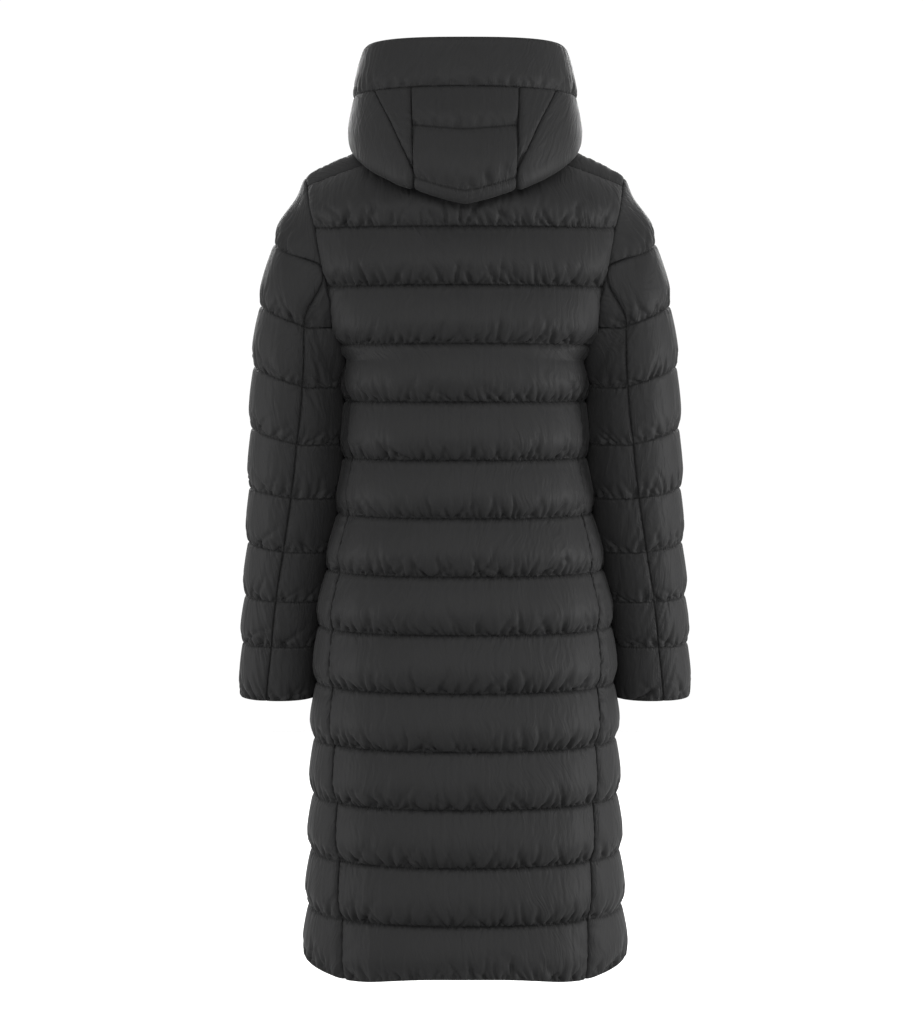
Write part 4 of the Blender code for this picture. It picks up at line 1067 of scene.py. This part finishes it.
class Shader:
    """A material's nodes."""

    def __init__(self, name):
        self.material = bpy.data.materials.new(name)
        self.material.use_nodes = True
        self.nodes = self.material.node_tree.nodes
        self.surface = self.nodes["Principled BSDF"]

    def add(self, kind, settings=None, inputs=None, output=0):
        """Add a node: first its settings, then the values or links of its sockets."""
        node = self.nodes.new(kind)
        for name, setting in (settings or {}).items():
            setattr(node, name, setting)
        for place, value in (inputs or {}).items():
            self.put(node, place, value)
        return Value(self, node.outputs[output])

    def put(self, node, place, value):
        if isinstance(value, Value):
            self.material.node_tree.links.new(value.socket, node.inputs[place])
        else:
            node.inputs[place].default_value = value

    def scaled(self, where, scale):
        return self.add("ShaderNodeVectorMath", {"operation": "MULTIPLY"}, {0: where, 1: scale})

    def axis(self, where, number):
        return self.add("ShaderNodeSeparateXYZ", {}, {0: where}, number)

    def noise(self, where, scale, detail=2.0):
        return self.add("ShaderNodeTexNoise", {}, {"Vector": where, "Scale": scale, "Detail": detail})

    def mottling(self, pattern, drift=None):
        """Noise over the flat cloth, which a drift of about 0.5 leads aside as it runs down."""
        along, down, detail = pattern
        flat = self.add("ShaderNodeUVMap", {"uv_map": "cloth"})
        if drift is None:
            return self.noise(self.scaled(flat, (along, down, 1)), 1.0, detail)
        led = self.axis(flat, 0) + (drift - 0.5) * DRIFT_REACH
        where = self.add("ShaderNodeCombineXYZ", {}, {0: led * along, 1: self.axis(flat, 1) * down})
        return self.noise(where, 1.0, detail)

    def wave(self, where, number):
        """Threads: a row of ridges from 0 to 1, one every unit along an axis."""
        return (self.axis(where, number) * (2 * pi)).sine() * 0.5 + 0.5

    def blend(self, share, first, second):
        """A colour between two, by a share."""
        return self.add("ShaderNodeMix", {"data_type": "RGBA"}, {0: share, 6: first, 7: second}, 2)

    def shades(self, share, colour, darkest, palest):
        """One colour, from its darkest shade to its palest by a share."""
        return self.blend(share, tinted(colour, darkest), tinted(colour, palest))

    def bump(self, height, strength, distance, normal=None):
        inputs = {"Height": height, "Strength": strength, "Distance": distance}
        if normal is not None:
            inputs["Normal"] = normal
        return self.add("ShaderNodeBump", {}, inputs)

    def finish(self, **surface):
        for name, value in surface.items():
            self.put(self.surface, name.replace("_", " "), value)
        return self.material


def tinted(colour, factor):
    return (*[min(1.0, channel * factor) for channel in colour], 1.0)


# Patterns over the flat cloth: turns a metre along a panel and down it, and detail.
DRIFT_PATTERN = (14, 14, 2.0)
STREAK_PATTERN = (210, 30, 3.0)
CREASE_PATTERN = (80, 34, 4.0)
PATCH_PATTERN = (16, 12, 3.0)
PUCKER_PATTERN = (480, 70, 3.0)
DRIFT_REACH = 0.05
CREASE_DEPTH = 0.0022
WEAVE_DEPTH = 0.00004
METAL_GRAIN_DEPTH = TAPE_RIB_DEPTH = 0.0001
TAPE_RIBS = (900, 900, 900)
# Noises over solid pieces, in turns a metre.
TAPE_SPECKLE = 400.0
METAL_GRAIN = 900.0
METAL_WEAR = 120.0
FLOOR_MOTTLING = 3.0


def shell_material(look):
    """Thin, tightly woven nylon with a dull sheen, fine gathers, slight mottling and painted shade along its
    seams.
    """
    shader = Shader("shell_nylon")
    thread = 1 / look.thread_pitch
    threads = shader.scaled(shader.add("ShaderNodeUVMap", {"uv_map": "cloth"}), (thread, thread, 0))
    weave = shader.wave(threads, 0) * shader.wave(threads, 1)
    drift = shader.mottling(DRIFT_PATTERN)
    streaks = shader.mottling(STREAK_PATTERN, drift)
    creases = shader.mottling(CREASE_PATTERN, drift)
    patches = shader.mottling(PATCH_PATTERN)
    seam_room = shader.axis(shader.add("ShaderNodeUVMap", {"uv_map": "seam_room"}), 0)
    # sewn masks a painted shade: the cloth's colour darkens within SEAM_SHADE_WIDTH of a quilting seam,
    # where the crease lies in shade.
    beside, sewn = ((1 - seam_room * (1 / reach)).at_least(0.0) for reach in (PUCKER_REACH, SEAM_SHADE_WIDTH))
    puckers = shader.mottling(PUCKER_PATTERN, drift) * beside ** 1.5 * 1.5
    tone = patches * 0.6 + streaks * 0.3 + weave * 0.1
    cloth = shader.shades(tone, look.shell_colour, 0.75, 1.25)
    # Painted shade: the base colour goes towards a tenth of the shell colour along the seams.
    colour = shader.blend(sewn * look.painted_seam_shade, cloth, tinted(look.shell_colour, 0.1))
    coarse = shader.bump(streaks * 0.7 + creases * 0.5 + puckers, look.wrinkle, CREASE_DEPTH)
    fine = shader.bump(weave, 0.25, WEAVE_DEPTH, coarse)
    return shader.finish(
        Base_Color=colour,
        Roughness=patches * 0.14 + streaks * 0.06 + (look.shell_roughness - 0.10),
        Normal=fine,
        Specular_IOR_Level=look.shine,
        Sheen_Weight=look.sheen,
        Sheen_Roughness=0.45,
        Sheen_Tint=(0.8, 0.8, 0.8, 1.0),
    )


def tape_material(look):
    """Herringbone zip tape."""
    shader = Shader("zip_tape_weave")
    where = shader.add("ShaderNodeTexCoord", output=3)
    scaled = shader.scaled(where, TAPE_RIBS)
    ribs = shader.wave(scaled, 2) * shader.wave(scaled, 0)
    speckle = shader.noise(where, TAPE_SPECKLE)
    return shader.finish(
        Base_Color=shader.shades(ribs * 0.6 + speckle * 0.4, look.tape_colour, 0.7, 1.3),
        Roughness=speckle * 0.2 + 0.6,
        Normal=shader.bump(ribs, 0.6, TAPE_RIB_DEPTH),
    )


def metal_material(look):
    """Dark plated zip metal, worn brighter in patches."""
    shader = Shader("zip_plated_metal")
    where = shader.add("ShaderNodeTexCoord", output=3)
    grain = shader.noise(where, METAL_GRAIN, 4.0)
    wear = shader.noise(where, METAL_WEAR, 3.0)
    return shader.finish(
        Base_Color=shader.shades(wear, look.metal_colour, 0.75, 1.7),
        Roughness=wear * 0.22 + grain * 0.1 + 0.22,
        Metallic=1.0,
        Normal=shader.bump(grain, 0.15, METAL_GRAIN_DEPTH),
    )


def material(name, make, look):
    return bpy.data.materials.get(name) or make(look)


# --- Zip ------------------------------------------------------------------
def front_line():
    """Heights and depths of the centre front of the coat's inside, from the neck down."""
    neck = neck_point(np.array(NECK_START_TURN))
    heights = np.concatenate((
        np.linspace(neck[2], YOKE_Z, NECK_LINE_POINTS)[1:-1], np.linspace(YOKE_Z, HEM_Z, FRONT_LINE_POINTS)))
    share = (heights - YOKE_Z) / (RIDGE_HEIGHT - RIDGE_SLOPE * RIDGE_ROUNDING - YOKE_Z)
    over = pi - np.arcsin(np.clip(share, 0, 1) ** (SHOULDER_POWER / 2))
    depth = np.where(heights > YOKE_Z, shoulder_point(0 * heights, over)[:, 1], -body_half_depth(heights))
    return np.concatenate(([neck[1:][::-1]], np.stack((heights, depth), axis=-1)))


def coil_mesh(name, side):
    """The moulded teeth on one tape's edge: small rounded blocks, each with its neck."""
    line = front_line()
    run = lengths(line, 0)
    count = int((run[-1] - 2 * TEETH_MARGIN) / TOOTH_PITCH)
    along = TEETH_MARGIN + (np.arange(count) + (0.5 if side > 0 else 0.0)) * TOOTH_PITCH
    (z, y), (z_before, y_before), (z_after, y_after) = (
        [np.interp(along + step, run, line[:, c]) for c in (0, 1)]
        for step in (0.0, -TOOTH_SLOPE_STEP, TOOTH_SLOPE_STEP))
    leans = [atan2(*slope) for slope in zip(y_after - y_before, z_before - z_after)]
    corners, faces = [], []
    for place, lean in enumerate(leans):
        outward = np.array((0.0, -cos(lean), -sin(lean)))
        down = np.array((0.0, sin(lean), -cos(lean)))
        middle = np.array((0.0, y[place] - WALL, z[place])) + outward * TOOTH_STANDOFF
        for x_low, x_high, width in TOOTH_PARTS:
            first = len(corners)
            for depth, inset in TOOTH_RINGS:
                for x, v in ((x_low, -1), (x_high, -1), (x_high, 1), (x_low, 1)):
                    shift = inset * (1 if x == x_low else -1)
                    at = middle + outward * depth + down * v * (width - inset)
                    corners.append(at + np.array((side * (x + shift), 0, 0)))
            for ring in (0, 4):
                for c in range(4):
                    a, b = first + ring + c, first + ring + (c + 1) % 4
                    faces.append((a, b, b + 4, a + 4))
            faces.append((first + 3, first + 2, first + 1, first))
            faces.append((first + 8, first + 9, first + 10, first + 11))
    mesh = bpy.data.meshes.new(name)
    mesh.from_pydata([tuple(corner) for corner in corners], [], faces)
    work = bmesh.new()
    work.from_mesh(mesh)
    bmesh.ops.recalc_face_normals(work, faces=work.faces[:])
    work.to_mesh(mesh)
    work.free()
    return mesh


# --- Sizes and colours ----------------------------------------------------
def quantity(name, description, default, low, high, **kind):
    """A number in the sidebar, from a lowest to a highest value."""
    return bpy.props.FloatProperty(
        name=name, description=description, default=default, min=low, max=high, **kind)


def factor(name, description, default, low=0.0, high=1.0):
    return quantity(name, description, default, low, high, subtype="FACTOR")


def metres(name, description, default, low=-10.0, high=10.0):
    return quantity(name, description, default, low, high, subtype="DISTANCE", unit="LENGTH")


def watts(name, description, default, high):
    return quantity(name, description, default, 0.0, high, subtype="POWER", unit="POWER")


def tint(name, description, default):
    return bpy.props.FloatVectorProperty(
        name=name, description=description, default=default, subtype="COLOR", size=3, min=0.0, max=1.0)


class CoatLook(bpy.types.PropertyGroup):
    """Colours and fineness of the coat's cloth and zip."""
    shell_colour: tint("Shell colour", "Colour of the outer cloth", (0.0060, 0.0060, 0.0061))
    shell_roughness: factor("Shell roughness", "How dull the outer cloth is", 0.60)
    shine: factor("Shine", "Strength of the cloth's reflections", 0.05)
    sheen: factor("Sheen", "Soft light on the cloth's rims", 0.02)
    wrinkle: factor("Fine wrinkles", "Strength of the finest creases", 0.8)
    # Strength of the painted shade that darkens the cloth along the quilting seams.
    painted_seam_shade: factor("Seam shade", "How dark the sewn lines are", 0.7)
    thread_pitch: metres("Thread pitch", "Distance between the cloth's threads", 0.0005, 0.0002, 0.003)
    tape_colour: tint("Tape colour", "Colour of the zip's woven tape", (0.012, 0.012, 0.012))
    metal_colour: tint("Zip metal", "Colour of the slider, its pull and the teeth", (0.040, 0.040, 0.042))


class CoatCloth(bpy.types.PropertyGroup):
    """How full and how fine the padded panels are."""
    fullness: factor("Fullness", "Share of the channels' full swell", 1.0, 0.3, 1.1)
    thread_step: metres("Across", "Distance between the cloth's points along a seam", 0.0020, 0.0015, 0.02)
    row_step: metres("Down", "Distance between the cloth's points down a channel", 0.0032, 0.002, 0.02)
    settling: bpy.props.IntProperty(
        name="Settling", description="Steps that the cloth takes to settle", min=0, max=600, default=160)


class StudioLook(bpy.types.PropertyGroup):
    """The floor, the lights and the camera."""
    floor_colour: tint("Floor colour", "Colour of the plain floor", (0.62, 0.62, 0.62))
    floor_height: metres("Floor height", "Height of the floor below the neck", -1.42)
    surround: quantity("Surround", "Brightness all round", 1.03, 0.0, 5.0)
    key: watts("Key light", "Power of the large light behind the coat", 300.0, 2000.0)
    rim: watts("Side lights", "Power of each light at the side", 80.0, 500.0)
    distance: metres("Camera distance", "How far behind the coat the camera stands", 2.9, 1.0)
    camera_height: metres("Camera height", "Height of the camera", -0.33)
    lens: quantity("Lens", "Focal length of the camera", 86.37, 20.0, 200.0, subtype="DISTANCE_CAMERA")
    pitch: quantity(
        "Camera pitch", "How far the camera looks down", radians(1.96), -pi / 2, pi / 2,
        subtype="ANGLE", unit="ROTATION")
    shift: quantity(
        "Camera shift", "Upward shift of the lens, as a share of the picture's width", -0.05, -0.1, 0.1)


def cloth_grid(context):
    cloth = context.scene.coat_cloth
    coarse = 1.0
    return Grid(cloth.thread_step * coarse, cloth.row_step * coarse, cloth.settling)


def sew_pair(context, name, node, cut, seeds):
    """Sew the left panel that a cut describes, and its mirror image on the right."""
    for side, half, seed in (("left", cut, seeds[0]), ("right", cut.mirrored(), seeds[1])):
        sew(context, f"{name}_{side}", half, f"{node}_{side}", seed)


# --- Operators ------------------------------------------------------------
HOOD_PANELS = (
    # name, node, turns of its edges, rough width, levels of rows and seams, share of swell, seeds
    ("hood_strip_shell", "hood_centre", (STRIP_TURN, -STRIP_TURN), 0.11,
     (9, 7, 5, 0), (9, 7, 5, 0), HOOD_CROWN, (51,)),
    ("hood_side_shell", "hood_side", (HOOD_END_TURN, gusset_edge), 0.42,
     (9, 7, 5, 0), (9, 0), HOOD_CROWN, (52, 53)),
    ("hood_gusset_shell", "hood_gusset", (gusset_edge, STRIP_TURN), 0.06,
     GUSSET_LEVELS, GUSSET_LEVELS[::2], HOOD_CROWN, (54, 55)),
    ("hood_brim_shell", "hood_brim", (HOOD_END_TURN, -HOOD_END_TURN), 0.62,
     (12, 9), (12, 9), BRIM_CROWN, (56,)),
)
LIGHTS = (
    # name, place, target, size, the power that it follows and its share of that
    ("key_behind", (0.0, 3.6, 1.0), (0, 0, -0.5), (5.0, 1.0), "key", 1.0),
    ("key_before", (0.0, -3.6, 0.9), (0, 0, -0.5), (5.0, 1.0), "key", 0.7),
    ("side_left", (2.6, 0.5, -0.5), (0, 0, -0.5), (1.0, 1.0), "rim", 1.0),
    ("side_right", (-2.6, 0.5, -0.5), (0, 0, -0.5), (1.0, 1.0), "rim", 1.9),
    ("above", (0.0, 0.4, 2.2), (0, 0, -0.3), (2.5, 1.5), "rim", 0.3),
)


class COAT_OT_back(bpy.types.Operator):
    """Sew the quilted back, from the neck to the hem"""
    bl_idname = "coat.back"
    bl_label = "Back"

    def execute(self, context):
        sew(context, "back_shell", back_cut(cloth_grid(context)), "back_panel", 11)
        return {"FINISHED"}


class COAT_OT_fronts(bpy.types.Operator):
    """Sew the two quilted fronts, from the neck to the hem"""
    bl_idname = "coat.fronts"
    bl_label = "Fronts"

    def execute(self, context):
        sew_pair(context, "front_shell", "front", front_cut(cloth_grid(context)), (21, 22))
        return {"FINISHED"}


class COAT_OT_sides(bpy.types.Operator):
    """Sew the two side panels, from under the arms to the hem"""
    bl_idname = "coat.sides"
    bl_label = "Sides"

    def execute(self, context):
        sew_pair(context, "side_shell", "side_panel", side_cut(cloth_grid(context)), (31, 32))
        return {"FINISHED"}


class COAT_OT_sleeves(bpy.types.Operator):
    """Sew both sleeves, each of a top part and an under part"""
    bl_idname = "coat.sleeves"
    bl_label = "Sleeves"

    def execute(self, context):
        seam = float(armhole_turn(SLEEVE_SEAM_Z))
        for part, first, last, seed in (("top", -seam, seam, 41), ("under", seam, 2 * pi - seam, 43)):
            cut = sleeve_cut(cloth_grid(context), first, last)
            sew_pair(context, f"sleeve_{part}_shell", f"sleeve_{part}", cut, (seed, seed + 1))
        return {"FINISHED"}


class COAT_OT_hood(bpy.types.Operator):
    """Sew the hood: its middle strip, gussets, sides and brim"""
    bl_idname = "coat.hood"
    bl_label = "Hood"

    def execute(self, context):
        grid = cloth_grid(context)
        for name, node, edges, width, levels, seams, swell, seeds in HOOD_PANELS:
            cut = hood_cut(grid, edges, width, levels, seams, swell)
            if len(seeds) == 2:
                sew_pair(context, name, node, cut, seeds)
            else:
                sew(context, name, cut, node, seeds[0])
        return {"FINISHED"}


class COAT_OT_zip(bpy.types.Operator):
    """Add the zip's teeth, and finish its tapes, slider and pull"""
    bl_idname = "coat.zip"
    bl_label = "Zip"

    def execute(self, context):
        look = context.scene.coat_look
        tape = material("zip_tape_weave", tape_material, look)
        metal = material("zip_plated_metal", metal_material, look)
        for side, label in ((1, "left"), (-1, "right")):
            mesh = coil_mesh(f"zip_teeth_{label}", side)
            mesh.materials.append(metal)
            teeth = add_object(context.scene, mesh.name, mesh)
            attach(teeth, "coat")
            finish_node(f"zip_tape_{label}", tape)
        finish_node("zip_slider", metal)
        finish_node("zip_pull", metal)
        return {"FINISHED"}


def finish_node(name, finish):
    """Give a frame node its material."""
    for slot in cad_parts[name].material_slots:
        slot.material = finish


class COAT_OT_stage(bpy.types.Operator):
    """Set the floor, the lights and the camera"""
    bl_idname = "coat.stage"
    bl_label = "Stage"

    def execute(self, context):
        studio = context.scene.coat_studio
        scene = context.scene
        scene.view_settings.view_transform = "Standard"
        shader = Shader("studio_floor")
        shade = shader.noise(shader.add("ShaderNodeTexCoord", output=3), FLOOR_MOTTLING)
        shader.finish(Base_Color=shader.shades(shade, studio.floor_colour, 0.99, 1.01), Roughness=0.9)
        mesh = bpy.data.meshes.new("floor")
        turns = np.linspace(0, 2 * pi, FLOOR_CORNERS, endpoint=False)
        rim = stack(FLOOR_RADIUS * np.cos(turns), FLOOR_RADIUS * np.sin(turns), studio.floor_height)
        mesh.from_pydata(rim.tolist(), [], [tuple(range(len(rim)))])
        mesh.materials.append(shader.material)
        add_object(scene, "floor", mesh)
        scene.world = bpy.data.worlds.new("studio")
        scene.world.use_nodes = True
        background = scene.world.node_tree.nodes["Background"]
        background.inputs[0].default_value = (1, 1, 1, 1)
        background.inputs[1].default_value = studio.surround
        for name, place, target, size, follows, part in LIGHTS:
            add_light(scene, name, place, target, size, getattr(studio, follows) * part)
        camera = add_object(scene, "camera", bpy.data.cameras.new("camera"))
        camera.data.sensor_fit, camera.data.sensor_width = "HORIZONTAL", SENSOR_WIDTH
        camera.data.lens, camera.data.shift_y = studio.lens, studio.shift
        camera.location = (CAMERA_X, studio.distance, studio.camera_height)
        camera.rotation_euler = (pi / 2 - studio.pitch, 0, pi)
        scene.camera = camera
        return {"FINISHED"}


def add_light(scene, name, place, target, size, energy):
    lamp = bpy.data.lights.new(name, "AREA")
    lamp.shape, lamp.size, lamp.size_y, lamp.energy = "RECTANGLE", size[0], size[1], energy
    light = add_object(scene, name, lamp)
    light.location = place
    light.rotation_euler = (Vector(target) - Vector(place)).to_track_quat("-Z", "Y").to_euler()


PIECES = (COAT_OT_back, COAT_OT_fronts, COAT_OT_sides, COAT_OT_sleeves, COAT_OT_hood, COAT_OT_zip)


class COAT_PT_panel(bpy.types.Panel):
    """The coat's pieces, sizes and colours"""
    bl_label = "Long Quilted Coat"
    bl_idname = "COAT_PT_panel"
    bl_space_type = "VIEW_3D"
    bl_region_type = "UI"
    bl_category = "Coat"

    def draw(self, context):
        for group in (getattr(context.scene, name) for name in GROUPS):
            box = self.layout.box()
            for name in group.bl_rna.properties.keys():
                if name not in ("rna_type", "name"):
                    box.prop(group, name)
        for piece in PIECES + (COAT_OT_stage,):
            self.layout.operator(piece.bl_idname)


GROUPS = {"coat_cloth": CoatCloth, "coat_look": CoatLook, "coat_studio": StudioLook}
CLASSES = (*GROUPS.values(), *PIECES, COAT_OT_stage, COAT_PT_panel)


def register():
    for made in CLASSES:
        bpy.utils.register_class(made)
    for name, group in GROUPS.items():
        setattr(bpy.types.Scene, name, bpy.props.PointerProperty(type=group))


def unregister():
    for name in GROUPS:
        delattr(bpy.types.Scene, name)
    for made in reversed(CLASSES):
        bpy.utils.unregister_class(made)


def main():
    register()
    for piece in PIECES + (COAT_OT_stage,):
        family, name = piece.bl_idname.split(".")
        getattr(getattr(bpy.ops, family), name)()


if __name__ == "__main__":
    main()
